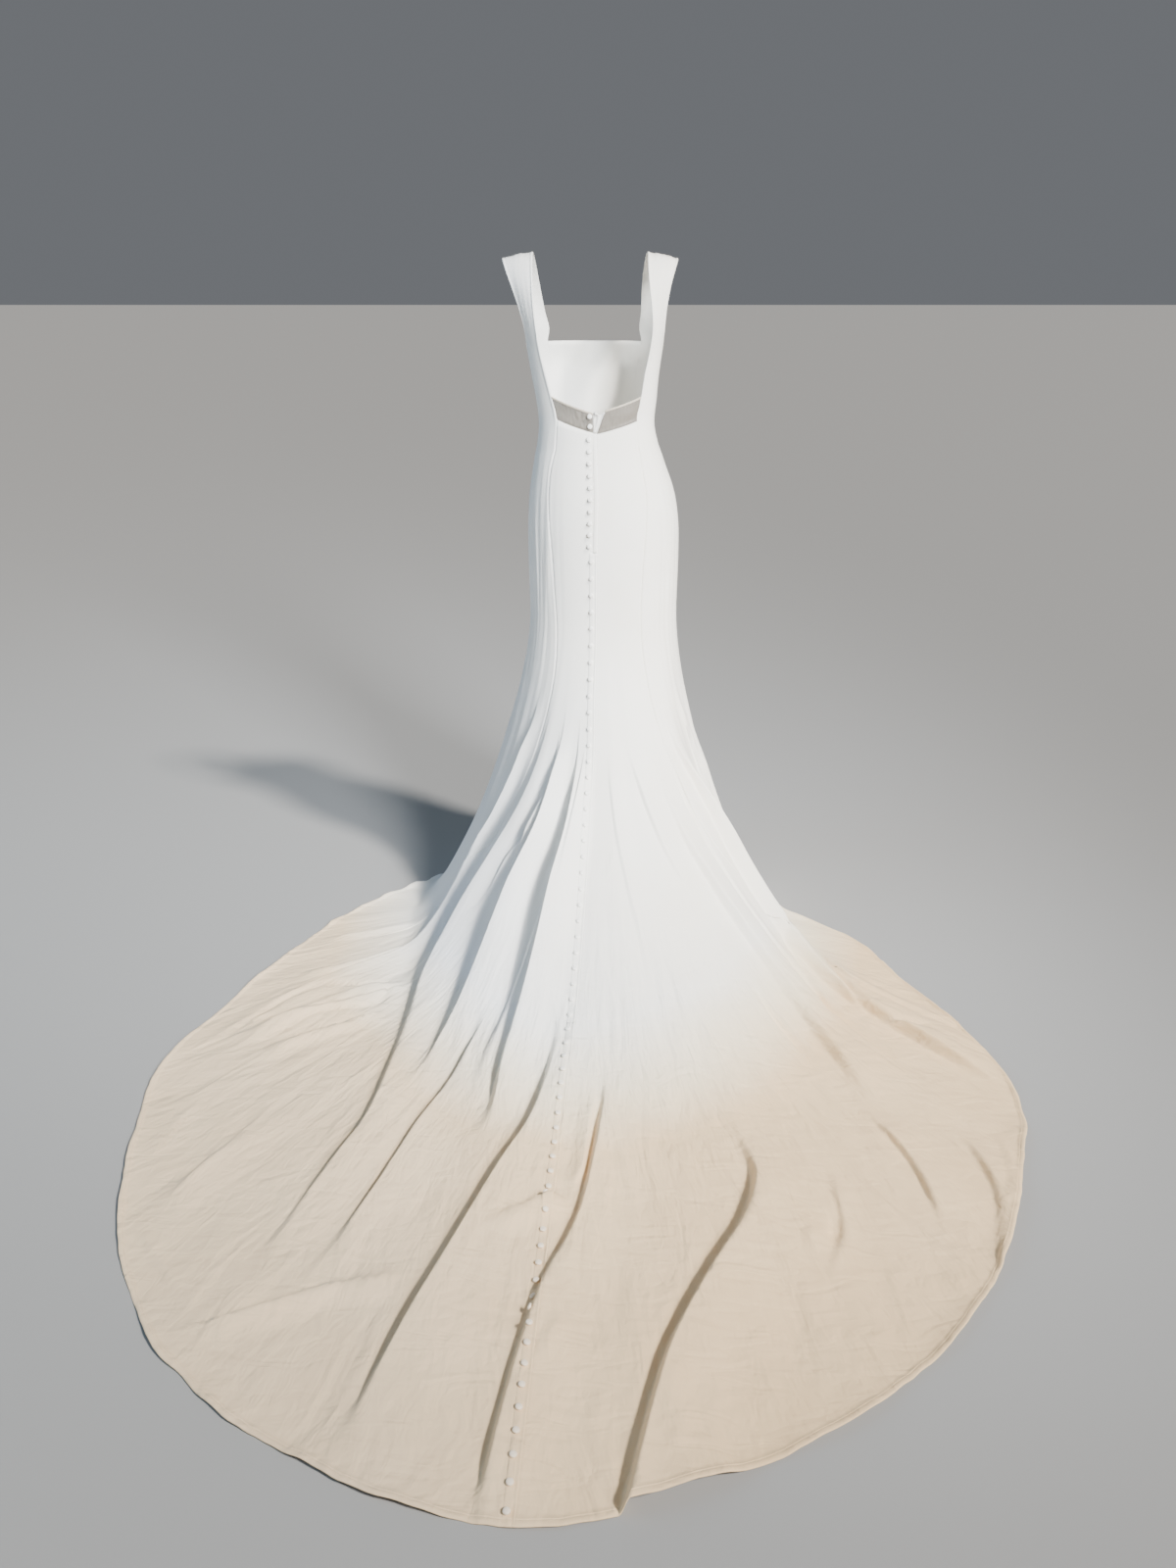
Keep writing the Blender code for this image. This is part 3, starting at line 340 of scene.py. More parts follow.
def seen_at(points):
    """Pixels at which points, with heights above the floor, appear."""
    away = points - np.array(EYE)
    ahead = -away[..., 1] * math.cos(PITCH) - away[..., 2] * math.sin(PITCH)
    right = -away[..., 0]
    up = -away[..., 1] * math.sin(PITCH) + away[..., 2] * math.cos(PITCH)
    u = PICTURE[0] / 2 + FOCAL * right / ahead
    return np.stack([u, PICTURE[1] / 2 - FOCAL * up / ahead], -1), ahead


def placed(name, data):
    """A new object in the scene."""
    made = bpy.data.objects.new(name, data)
    bpy.context.scene.collection.objects.link(made)
    return made


def make_camera():
    data = bpy.data.cameras.new("camera")
    data.sensor_width = 36
    data.lens = 36 * FOCAL / PICTURE[1]
    data.clip_start, data.clip_end = 0.05, 100
    camera = placed("camera", data)
    camera.location = (EYE[0], EYE[1], EYE[2] - STRAP_HEIGHT)
    camera.rotation_euler = (math.pi / 2 - PITCH, 0, math.pi)
    bpy.context.scene.camera = camera


def plan_at(pixels):
    """Where, seen from above, the cloth without its folds lies that shows at each pixel."""
    columns, rows = SEARCH_GRID
    angles, levels = np.meshgrid(np.linspace(-SEARCHED, SEARCHED, columns), np.linspace(0, 1, rows))
    points = plain_point(angles, levels).reshape(-1, 3)
    facing = direction(plain_point, angles, levels).reshape(-1, 3)
    towards = np.sum(facing * (np.array(EYE) - points), -1) > 0
    points = points[towards]
    places, ahead = seen_at(points)
    found = []
    for pixel in pixels:
        away = np.linalg.norm(places - pixel, axis=-1) + NEARNESS * (ahead - ahead.min())
        found.append(points[np.argmin(away), :2])
    return found


# ---- Finer folds ----

# Small folds and dents. The columns are those of FOLDS without its names, and the crests run through pixels
# of the 1200 x 1600 picture. A negative height is a trough.
CREASES = [
    # upper left
    (0.011, 0.050, 0.090, 0.05, 0.16, [(548, 707), (542, 747), (517, 805), (479, 875), (457, 899)]),
    (0.012, 0.050, 0.110, 0.06, 0.20,
     [(572, 745), (562, 800), (542, 848), (521, 875), (496, 920), (470, 952)]),
    (0.011, 0.045, 0.100, 0.08, 0.20, [(562, 775), (540, 853), (520, 896), (498, 947)]),
    (0.012, 0.045, 0.100, 0.08, 0.16,
     [(590, 770), (575, 843), (562, 901), (542, 967), (518, 1036), (494, 1095), (485, 1136)]),
    (0.005, 0.040, 0.080, 0.06, 0.16, [(598, 760), (592, 810), (583, 870), (572, 930)]),
    # upper right
    (0.009, 0.050, 0.080, 0.06, 0.20,
     [(683, 704), (696, 733), (710, 768), (724, 800), (748, 851), (776, 896), (803, 941)]),
    (0.007, 0.050, 0.100, 0.08, 0.20, [(640, 760), (655, 810), (676, 860), (705, 910), (730, 950)]),
    (0.006, 0.050, 0.090, 0.06, 0.18, [(670, 740), (690, 790), (712, 830), (738, 868)]),
    # upper middle
    (0.004, 0.050, 0.100, 0.08, 0.18, [(620, 770), (630, 850), (648, 930), (668, 1000)]),
    # the pinch at the train's centre seam
    (0.020, 0.036, 0.050, 0.03, 0.10, [(574, 1222), (566, 1226), (545, 1235), (515, 1250), (484, 1262)]),
    (0.008, 0.024, 0.034, 0.03, 0.06, [(580, 1216), (592, 1196), (600, 1160), (609, 1114)]),
    (0.010, 0.020, 0.040, 0.08, 0.08, [(572, 1340), (560, 1372), (542, 1407)]),
    # dents and thin lines of the train
    (-0.006, 0.030, 0.030, 0.06, 0.06, [(848, 1234), (850, 1260), (848, 1282)]),
    (0.006, 0.024, 0.030, 0.06, 0.06, [(819, 1239), (826, 1262), (832, 1290)]),
    (0.004, 0.014, 0.022, 0.05, 0.05, [(896, 1304), (932, 1295), (968, 1285)]),
    (0.004, 0.014, 0.022, 0.05, 0.05, [(896, 1308), (950, 1310), (1011, 1309)]),
    (0.004, 0.024, 0.030, 0.04, 0.04, [(866, 1130), (880, 1138), (893, 1152)]),
    (0.008, 0.022, 0.040, 0.10, 0.04, [(829, 970), (867, 1005), (920, 1028), (985, 1050)]),
    # long thin lines on the right
    (-0.011, 0.045, 0.018, 0.10, 0.10,
     [(684, 784), (736, 887), (783, 956), (826, 1008), (874, 1051), (925, 1085), (1005, 1102)]),
    (-0.011, 0.045, 0.018, 0.10, 0.10, [(762, 996), (796, 1044), (839, 1091), (880, 1130)]),
    (-0.011, 0.045, 0.018, 0.08, 0.06,
     [(788, 930), (822, 967), (856, 1006), (891, 1036), (925, 1049), (964, 1057)]),
    (-0.007, 0.040, 0.016, 0.10, 0.10, [(715, 780), (748, 858), (790, 940), (822, 995), (856, 1047)]),
    # long thin lines on the left
    (-0.007, 0.030, 0.012, 0.04, 0.06,
     [(435, 977), (402, 996), (384, 1004), (331, 1008), (287, 1023), (226, 1059)]),
    (-0.007, 0.030, 0.012, 0.04, 0.06,
     [(402, 1005), (388, 1024), (366, 1030), (322, 1038), (274, 1060), (230, 1073)]),
    (-0.006, 0.030, 0.012, 0.04, 0.06, [(406, 1032), (366, 1044), (322, 1050), (287, 1061), (265, 1070)]),
    (-0.006, 0.030, 0.012, 0.04, 0.06, [(428, 947), (393, 963), (366, 981), (336, 985)]),
    (0.003, 0.014, 0.024, 0.05, 0.05, [(631, 861), (621, 882), (612, 901)]),
    # ridges on the left
    (0.022, 0.090, 0.055, 0.10, 0.18, [(420, 1002), (380, 1012), (330, 1028), (280, 1046), (225, 1066)]),
    (0.014, 0.050, 0.030, 0.05, 0.12, [(400, 1034), (365, 1044), (320, 1058), (275, 1072), (230, 1086)]),
    (0.014, 0.050, 0.036, 0.05, 0.08, [(425, 962), (385, 978), (345, 990), (300, 996)]),
    (0.010, 0.040, 0.030, 0.05, 0.08, [(432, 937), (400, 948), (365, 954), (325, 958)]),
    (0.006, 0.018, 0.040, 0.08, 0.08, [(234, 1158), (206, 1191), (172, 1220)]),
    (0.008, 0.030, 0.040, 0.05, 0.08, [(407, 1307), (340, 1319), (268, 1340), (186, 1360)]),
    # by the hem
    (0.005, 0.016, 0.030, 0.05, 0.05, [(150, 1180), (180, 1150), (214, 1120)]),
    (0.004, 0.014, 0.026, 0.05, 0.05, [(190, 1080), (240, 1050), (290, 1032)]),
    (0.004, 0.016, 0.030, 0.05, 0.05, [(140, 1250), (160, 1290), (190, 1330)]),
    (0.005, 0.016, 0.030, 0.05, 0.05, [(1020, 1160), (1030, 1200), (1030, 1240)]),
    (0.004, 0.016, 0.030, 0.05, 0.05, [(700, 1440), (690, 1470), (682, 1500)]),
]

CRISP = 0.27  # the share of its steep width that a fold's foot keeps
POINTED = 0.4  # the share of a crest that is pointed on its gentle side
TURN_OVER = 4  # how quickly one width gives way to the other at a crest's ends
SOFTENED = 0.66  # the share of its height that a fold on the floor keeps

# Heights of the smaller waves, and where they set in: a start and the width over which they grow.
SKIRT_WAVE, SKIRT_WAVE_FROM = 0.0022, (0.03, 0.25)  # as levels
LUMP, RAY, SHARP_RAY, LYING_FROM = 0.0026, 0.0020, 0.0012, (0.45, 0.35)  # as distances from the axis
HIP_WAVE, HIP_LINE, HIP_SIDE_FROM = 0.0026, 0.0007, (0.45, 0.3)  # as sines of the angle
HIP_LEVEL, HIP_SPREAD = -0.06, 0.20
HEM_RISE, HEM_WAVE, HEM_RISE_WIDTH = 0.0035, 0.0060, 0.07
HEM_WANDER, HEM_RIPPLE, HEM_WANDER_WIDTH = 0.0045, 0.0020, 0.10  # how far the hem strays from its line
NOISE_CELLS = 64


def perlin(x, y, seed):
    """Smooth noise from -1 to 1."""
    table = np.random.default_rng(seed).uniform(0, 2 * math.pi, (NOISE_CELLS, NOISE_CELLS))
    cell_x, cell_y = np.floor(x).astype(int), np.floor(y).astype(int)
    u, v = x - cell_x, y - cell_y
    fade_u, fade_v = u * u * u * (u * (6 * u - 15) + 10), v * v * v * (v * (6 * v - 15) + 10)

    def corner(i, j):
        turn = table[(cell_x + i) % NOISE_CELLS, (cell_y + j) % NOISE_CELLS]
        return np.cos(turn) * (u - i) + np.sin(turn) * (v - j)

    low = corner(0, 0) * (1 - fade_u) + corner(1, 0) * fade_u
    high = corner(0, 1) * (1 - fade_u) + corner(1, 1) * fade_u
    return 1.5 * (low * (1 - fade_v) + high * fade_v)


def ridge_height(plan, fold):
    """How far one fold lifts the cloth, with a crisper crest and foot than the solids' folds have."""
    height, steep, gentle, fade_in, fade_out, points = fold
    lift = np.zeros(plan.shape[:-1])
    inside = np.all((plan > np.min(points, 0) - gentle) & (plan < np.max(points, 0) + gentle), -1)
    plan = plan[inside]
    crest = crest_line(points)
    steps = steps_of(crest)
    begun = from_zero(steps)
    nearest = np.full(len(plan), np.inf)
    gone, side = np.zeros(len(plan)), np.zeros(len(plan))
    for a, b, step, before in zip(crest[:-1], crest[1:], steps, begun):
        along = np.clip((plan - a) @ (b - a) / step, 0, step)
        offset = plan - a - along[..., None] * (b - a) / step
        away = np.linalg.norm(offset, axis=-1)
        closer = away < nearest
        nearest = np.where(closer, away, nearest)
        gone = np.where(closer, before + along, gone)
        side = np.where(closer, (offset[..., 0] * (b - a)[1] - offset[..., 1] * (b - a)[0]) / step, side)
    radius = np.linalg.norm(plan, axis=-1)
    # The two widths blend into each other past the crest's ends, where there is no steep side.
    turn = np.clip(side / np.maximum(nearest, 1e-9), -1, 1)
    width = gentle + (CRISP * steep - gentle) * (1 + np.clip(turn * TURN_OVER, -1, 1)) / 2
    width = width * np.clip(radius / FULL_WIDTH_RADIUS, LEAST_WIDTH, 1)
    share = np.minimum(nearest / width, 1)
    round_crest = (1 + np.cos(math.pi * share)) / 2
    bump = np.where(side > 0, round_crest, (1 - POINTED) * round_crest + POINTED * (1 - share) ** 2)
    fade = rise(gone, 0, fade_in) * rise(begun[-1] - gone, 0, fade_out)
    lift[inside] = height * bump * fade * fade * (3 - 2 * fade)
    return lift


large_folds = [fold[1:] for fold in FOLDS]
small_folds = [crease[:5] + (plan_at(crease[5]),) for crease in CREASES]


def raised(plan, folds):
    return sum(ridge_height(plan, fold) for fold in folds)


def fine_point(angle, level, hem_distance):
    """A point of the finished cloth's outer side."""
    plain = plain_point(angle, level)
    plan = plain[..., :2]
    radius = np.linalg.norm(plan, axis=-1)
    way = np.radians(angle)
    low = rise(level, *SKIRT_WAVE_FROM)
    lying = rise(radius, *LYING_FROM)
    lift = raised(plan, large_folds) * rise(level, 0, FOLD_START)
    lift *= 1 - (1 - SOFTENED) * lying
    lift += raised(plan, small_folds) * (level > 0)
    # Long soft waves that run down the skirt, then shallow lumps and rays all over the train.
    lift += SKIRT_WAVE * low * perlin(way * 9 + 3, level * 4, 5)
    lift += LUMP * lying * perlin(plan[..., 0] * 7, plan[..., 1] * 5, 6)
    lift += RAY * lying * perlin(way * 18, radius * 4.5, 7)
    lift += SHARP_RAY * lying * (1 - 2 * np.abs(perlin(way * 31, radius * 5.5, 8)))
    # The sides of the hips, where the cloth is drawn down between the seams.
    hip = np.exp(-(((level - HIP_LEVEL) / HIP_SPREAD) ** 2)) * rise(np.abs(np.sin(way)), *HIP_SIDE_FROM)
    lines = 0.5 - np.abs(perlin(way * 19, level * 4, 15))
    lift += hip * (HIP_WAVE * perlin(way * 10, level * 3.0, 13) + HIP_LINE * lines)
    # The hem lifts off the floor a little here and there.
    at_hem = (1 - rise(hem_distance, 0, HEM_RISE_WIDTH)) ** 2
    lift += at_hem * (level > 0.5) * (HEM_RISE + HEM_WAVE * perlin(way * 14, 0 * way + 0.5, 9))
    point = plain + direction(plain_point, angle, level) * lift[..., None]
    wander = HEM_WANDER * perlin(way * 17, 0 * way + 0.5, 10)
    wander += HEM_RIPPLE * perlin(way * 60, 0 * way + 0.5, 11)
    wander *= 1 - rise(hem_distance, 0, HEM_WANDER_WIDTH)
    point[..., :2] += np.stack([np.sin(way), np.cos(way)], -1) * wander[..., None]
    point[..., 2] = np.maximum(point[..., 2], WALL + OFF_FLOOR)
    return point


# ---- Grids of points for the panels ----

BEND_SAMPLES, BLUR_PASSES, CROWDING = 240, 6, 7  # for the columns' spacing
ROW_STEP = 0.0115

# Thicknesses in the looks, and the least height above the floor.
WALL = 0.0012
OFF_FLOOR = 0.0002
STRIP_WALL, BINDING_WALL, TAPE_WALL, NET_WALL = 0.0006, 0.0005, 0.0004, 0.0003

SEAM_STEPS = [  # distance from a seam, lift
    (0.0, -0.0010), (0.0012, -0.0002), (0.0032, 0.0009), (0.0075, 0.0),
]
EDGE_LIFT = [-0.0002, 0.0011, 0.0014, 0.0006]  # the lifts of a turned free edge, in place of a seam's
HEM_STEPS = [  # distance from the hem, lift
    (0.0200, 0.0), (0.0135, 0.0), (0.0125, 0.0007), (0.0110, 0.0009), (0.0102, 0.0003), (0.0095, 0.0009),
    (0.0040, 0.0010), (0.0008, 0.0007), (0.0, 0.0),
]
EDGE_TURNS = 0.006  # the height over which a seam becomes a free edge
BACK_UP_TO, FRONT_FROM = 70, 110  # angles of the strap's back and front
STRAP_FOLD, STRAP_LINE, STRAP_RAGGED = 0.0011, 0.0004, 0.0012  # heights of a strap's folds
STRAP_FOLD_FROM, STRAP_FOLD_TO = (1.335, 0.05), (1.492, 0.06)  # heights where they begin and end
STRAP_TOP, RAGGED_SPREAD = 1.496, 0.010
JOINING_ROW = 8  # the row of a lower grid that guides the rows above it


def degrees(width, angle, levels):
    step = plain_point(angle + 0.5, levels) - plain_point(angle - 0.5, levels)
    return width / np.linalg.norm(step, axis=-1)


def panel_angles(first, last, levels, count):
    """Angles of a panel's columns, closer together beside its two seams."""
    left, right = smooth(SEAMS, first, levels), smooth(SEAMS, last, levels)
    right = np.where(right < left, right + 360, right)
    near_left = np.stack([left + degrees(step, left, levels) for step, _ in SEAM_STEPS], -1)
    near_right = np.stack([right - degrees(step, right, levels) for step, _ in SEAM_STEPS[::-1]], -1)
    middle = crowded(near_left[:, -1], near_right[:, 0], levels, count)[:, 1:-1]
    return np.concatenate([near_left, middle, near_right], 1)


def crowded(left, right, levels, count):
    """Angles between two limits at each level, closer together where the folds bend the cloth."""
    angles = left[:, None] + (right - left)[:, None] * np.linspace(0, 1, BEND_SAMPLES)
    plan = plain_point(angles, levels[:, None] + 0 * angles)[..., :2]
    lift = raised(plan, large_folds) * (levels > 0)[:, None]
    bend = np.abs(np.gradient(np.gradient(lift, axis=1), axis=1))
    for _ in range(BLUR_PASSES):
        bend = (np.roll(bend, 1, axis=0) + 2 * bend + np.roll(bend, -1, axis=0)) / 4
        bend = (np.roll(bend, 1, axis=1) + 2 * bend + np.roll(bend, -1, axis=1)) / 4
    weight = 1 + CROWDING * bend / (bend.max() or 1)
    filled = np.cumsum(weight, axis=1) - weight[:, :1]
    evenly = np.linspace(0, 1, count)
    return np.array([np.interp(evenly, f / f[-1], a) for f, a in zip(filled, angles)])


def seam_lift(count):
    edge = [lift for _, lift in SEAM_STEPS]
    return np.array(edge + [0.0] * (count - 2) + edge[::-1])


def strap_lift(points, count, seed):
    """The lifts of the rows above the waist: turned edges where the cloth ends, and a strap's soft folds."""
    plain = seam_lift(count)
    rolled = np.array(EDGE_LIFT + [0.0] * (count - 2) + EDGE_LIFT[::-1])
    height = points[..., 2]
    round_to = np.abs(np.degrees(np.arctan2(points[..., 0], points[..., 1])))
    limits = CENTRE_BACK_TOP[1], FRONT_ROWS[0][0]
    low = np.select([round_to < BACK_UP_TO, round_to > FRONT_FROM], limits, SIDE_BACK_ROWS[0][2])
    free = rise(height, low, EDGE_TURNS)
    gone = from_zero(steps_of(points).mean(1))[:, None]
    share = np.linspace(0, 1, points.shape[1])[None]
    end, width = STRAP_FOLD_TO
    up = rise(height, *STRAP_FOLD_FROM) * rise(end - height, 0, width)
    folds = STRAP_FOLD * perlin(share * 3.1 + 0 * gone, gone * 4.5 + 0 * share, seed)
    folds += STRAP_LINE * perlin(share * 6 + 0 * gone, gone * 9 + 0 * share, seed + 1)
    folds *= np.sin(math.pi * share) ** 0.5
    crown = np.exp(-(((height - STRAP_TOP) / RAGGED_SPREAD) ** 2))
    ragged = STRAP_RAGGED * crown * perlin(points[..., 0] * 90, 0 * height + 0.5, 14)
    return plain + (rolled - plain) * free + up * folds + ragged


def skirt_length(angle):
    levels = np.linspace(0, 1, 120)
    line = plain_point(angle[None] + 0 * levels[:, None], levels[:, None] + 0 * angle[None])
    return steps_of(line).sum(0)


def lower_grid(first, last, count):
    """A panel's points from the height of the first body row down to the hem, without a lift at its seams."""
    top = BREAK_HEIGHT - BODY_TOP
    body = np.linspace(top, 0, int(-top / ROW_STEP), endpoint=False)
    start, end = (smooth(SEAMS, column, np.array([1.0])) for column in (first, last))
    middle = (start + end + 360 * (end < start)) / 2
    rows = int(skirt_length(middle)[0] / ROW_STEP)
    plain_levels = np.concatenate([body, np.linspace(0, 1, rows)])
    angles = panel_angles(first, last, plain_levels, count)
    length = skirt_length(angles[-1])
    above_hem = 1 - HEM_STEPS[0][0] / length
    levels = plain_levels[:, None] * np.where(plain_levels[:, None] < 0, 1, above_hem)
    hem_levels = np.array([1 - step / length for step, _ in HEM_STEPS[1:]])
    angles = np.concatenate([angles, np.repeat(angles[-1:], len(hem_levels), 0)])
    levels = np.concatenate([levels, hem_levels])
    points = fine_point(angles, levels, (1 - levels) * length)
    lift = np.zeros(len(levels))
    lift[-len(HEM_STEPS) :] = [step for _, step in HEM_STEPS]
    return points, lift


def outward(points):
    return unit(np.cross(np.gradient(points, axis=1), np.gradient(points, axis=0)))


def refined(points, step):
    """Fills in rows between rows of points, along smooth curves."""
    gone = from_zero(steps_of(points).mean(1))
    fine = np.linspace(0, gone[-1], int(gone[-1] / step) + 2)
    slope = np.gradient(points, gone, axis=0)
    i = np.clip(np.searchsorted(gone, fine, side="right") - 1, 0, len(gone) - 2)
    width = (gone[i + 1] - gone[i])[:, None, None]
    t = ((fine - gone[i]) / (gone[i + 1] - gone[i]))[:, None, None]
    start = (1 + 2 * t) * (1 - t) ** 2 * points[i] + t * (1 - t) ** 2 * width * slope[i]
    return start + t**2 * (3 - 2 * t) * points[i + 1] + t**2 * (t - 1) * width * slope[i + 1]


def body_rows(rows, share):
    angles = np.array([first + (last - first) * share for first, _, last, _ in rows])
    heights = np.array([low + (high - low) * share for _, low, _, high in rows])
    return plain_point(angles, BREAK_HEIGHT - heights)


def seam_angle(column, height):
    return float(smooth(SEAMS, column, BREAK_HEIGHT - height))


def shares(points):
    """How far along its row each column of the first row lies."""
    gone = from_zero(steps_of(points[0]))
    return gone / gone[-1]


def whole_panel(first, last, count, top, strap=None):
    """All of a panel's points: the lower grid, its rows of the bodice above, and its half of the strap."""
    points, hem_lift = lower_grid(first, last, count)
    share = shares(points)
    rows = body_rows(top, share)
    if strap is not None:
        rows = np.concatenate([strap(share), rows])
    guides = points[[0, JOINING_ROW]]
    upper = refined(np.concatenate([rows, guides]), ROW_STEP)
    cut = np.argmin(np.linalg.norm(upper - points[0], axis=-1).mean(1))
    # The seed of the strap's folds comes from where the panel begins, so that the straps differ.
    lift = strap_lift(upper[:cut], count, int(20 + abs(points[0, 0, 0]) * 1000))
    whole = np.concatenate([upper[:cut], points])
    lift = np.concatenate([lift, seam_lift(count)[None] + hem_lift[:, None]])
    return whole, lift


def strap_rows(table, share, side, flip):
    """The points of a strap along some rows of its table, for one side, with columns in the panel's order."""
    share = 1 - share[::-1] if flip else share
    inner, outer = np.split(np.array(table)[:, None], 2, axis=-1)
    made = inner + (outer - inner) * share[:, None]
    normal = unit(np.cross(np.gradient(made, axis=1), -np.gradient(made, axis=0)))
    made += STRAP_CROWN * np.sin(math.pi * share)[None, :, None] * normal
    made *= np.array([side, 1, 1])
    if side < 0:
        t = rise(made[..., 2], SHIFT_FROM, SHIFT_TO - SHIFT_FROM)
        made[..., 0] += RIGHT_SHIFT * t * t * (3 - 2 * t)
    return made[:, ::-1] if flip else made


def shell(name, points, lift, wall=WALL):
    """A thin closed shell of cloth whose outer side is a grid of points."""
    normals = outward(points)
    outer = points + normals * lift[..., None]
    inner = points - normals * wall
    rows, columns = points.shape[:2]
    vertices = np.concatenate([outer.reshape(-1, 3), inner.reshape(-1, 3)])
    vertices[:, 2] = np.maximum(vertices[:, 2], OFF_FLOOR) - STRAP_HEIGHT
    index = np.arange(rows * columns).reshape(rows, columns)
    a, b, c, d = index[:-1, :-1], index[:-1, 1:], index[1:, 1:], index[1:, :-1]
    front = np.stack([a, d, c, b], -1).reshape(-1, 4)
    back = front[:, ::-1] + rows * columns
    rim = np.concatenate([index[0], index[1:, -1], index[-1, -2::-1], index[-2:0:-1, 0]])
    ahead = np.roll(rim, -1)
    sides = np.stack([rim, ahead, ahead + rows * columns, rim + rows * columns], -1)
    return mesh_object(name, vertices, np.concatenate([front, back, sides]).tolist())


def mesh_object(name, vertices, faces):
    mesh = bpy.data.meshes.new(name)
    mesh.from_pydata(np.asarray(vertices).tolist(), [], faces)
    mesh.validate()
    mesh.shade_smooth()
    return placed(name, mesh)


# ---- Materials ----

# Painted light: these tones stand in for the lamps' warm light on the train and the whiter light on the
# hanging cloth.
FLOOR_WARM_LIGHT_TONE, MIDDLE_LIGHT_TONE, HANGING_LIGHT_TONE = (0.85, 0.645, 0.41), (0.91, 0.82, 0.66), (0.93, 0.93, 0.91)
# Painted light and shade across the dress: warm light on the right, cool shade on the left.
RIGHT_WARM_LIGHT_CAST, MIDDLE_LIGHT_CAST, LEFT_COOL_SHADE_CAST = (1.0, 0.955, 0.885), (1.0, 0.995, 0.975), (0.90, 0.93, 1.0)
MOTTLE = (0.955, 0.94, 0.92)
# The measure in metres along which the painted light changes: the way out, more by the way sideways, less by
# the height, wandering a little.
LIGHT_TONE_SPAN, LIGHT_TONE_SIDEWAYS, LIGHT_TONE_HEIGHT, LIGHT_TONE_WANDER = (2.33, 2.74), 1.7, -1.2, -0.25
LIGHT_CAST_SPAN, LIGHT_CAST_SHARE, MOTTLE_SHARE = (-0.22, 0.32), 0.9, 0.8


def nodes_of(name, colour, roughness, **sockets):
    """A new material, its node tree, its shader's sockets and the place on the object."""
    material = bpy.data.materials.new(name)
    material.use_nodes = True
    tree = material.node_tree
    shader = tree.nodes["Principled BSDF"].inputs
    feed_all(tree, shader, Base_Color=(*colour, 1), Roughness=roughness, **sockets)
    return material, tree, shader, add(tree, "ShaderNodeTexCoord").outputs["Object"]


def feed(tree, socket, value):
    """Gives a socket a number or colour, or links another node's output to it."""
    if isinstance(value, bpy.types.NodeSocket):
        tree.links.new(value, socket)
    else:
        socket.default_value = value


def feed_all(tree, sockets, **values):
    for name, value in values.items():
        feed(tree, sockets[name.replace("_", " ")], value)


def add(tree, kind, **inputs):
    node = tree.nodes.new(kind)
    feed_all(tree, node.inputs, **inputs)
    return node


def between(tree, value, low, high):
    return add(tree, "ShaderNodeMapRange", Value=value, From_Min=low, From_Max=high).outputs["Result"]


def noise_texture(tree, place, scale, detail=2.0, roughness=0.5, distortion=0.0):
    return add(tree, "ShaderNodeTexNoise", Vector=place, Scale=scale, Detail=detail, Roughness=roughness,
               Distortion=distortion).outputs["Fac"]


def bump(tree, height, strength, distance, normal=None):
    node = add(tree, "ShaderNodeBump", Height=height, Strength=strength, Distance=distance)
    if normal is not None:
        tree.links.new(normal, node.inputs["Normal"])
    return node.outputs["Normal"]


def ramp(tree, value, low, high, *stops):
    """Turns a value between two limits into colours at even stops."""
    node = add(tree, "ShaderNodeValToRGB", Fac=between(tree, value, low, high))
    elements = node.color_ramp.elements
    while len(elements) < len(stops):
        elements.new(0.5)
    for i, colour in enumerate(stops):
        elements[i].position = i / (len(stops) - 1)
        elements[i].color = (*colour, 1)
    return node.outputs["Color"]


def mixed(tree, blend, first, second, share):
    node = tree.nodes.new("ShaderNodeMix")
    node.data_type = "RGBA"
    node.blend_type = blend
    for socket, value in ((0, share), (6, first), (7, second)):
        feed(tree, node.inputs[socket], value)
    return node.outputs[2]


def maths(tree, operation, *values):
    node = tree.nodes.new("ShaderNodeMath")
    node.operation = operation
    for socket, value in zip(node.inputs, values):
        feed(tree, socket, value)
    return node.outputs["Value"]


def mapping(tree, place, scale, turn=0.0):
    return add(tree, "ShaderNodeMapping", Vector=place, Scale=scale, Rotation=(0, 0, turn)).outputs["Vector"]


def distance_out(tree, axes, sideways=1.0):
    """Distance from the upright axis through the dress, where sideways steps may count for more."""
    across = maths(tree, "MULTIPLY_ADD", axes["X"], sideways - 1.0, axes["X"])
    flat = add(tree, "ShaderNodeCombineXYZ", X=across, Y=axes["Y"])
    node = add(tree, "ShaderNodeVectorMath")
    node.operation = "LENGTH"
    tree.links.new(flat.outputs[0], node.inputs[0])
    return node.outputs["Value"]


def painted_light_and_mottle(tree, place, axes):
    """Painted light on the ivory: whiter where it hangs and by it, painted warm light far out on the floor,
    painted warm light on the right and painted cool shade on the left, with a random mottle of the cloth's
    own.
    """
    out = maths(tree, "MULTIPLY_ADD", axes["Z"], LIGHT_TONE_HEIGHT, distance_out(tree, axes, LIGHT_TONE_SIDEWAYS))
    out = maths(tree, "MULTIPLY_ADD", noise_texture(tree, place, 2.2, 3.0), LIGHT_TONE_WANDER, out)
    # Painted warm light far out on the floor, whiter where the cloth hangs.
    tone = ramp(tree, out, *LIGHT_TONE_SPAN, HANGING_LIGHT_TONE, MIDDLE_LIGHT_TONE, FLOOR_WARM_LIGHT_TONE)
    # Painted warm light on the right and painted cool shade on the left.
    sideways = ramp(tree, axes["X"], *LIGHT_CAST_SPAN, RIGHT_WARM_LIGHT_CAST, MIDDLE_LIGHT_CAST, LEFT_COOL_SHADE_CAST)
    mottled = ramp(tree, noise_texture(tree, place, 7.0, 3.0), 0.3, 0.7, MOTTLE, (1.0, 1.0, 1.0))
    tone = mixed(tree, "MULTIPLY", tone, sideways, LIGHT_CAST_SHARE)
    return mixed(tree, "MULTIPLY", tone, mottled, MOTTLE_SHARE)


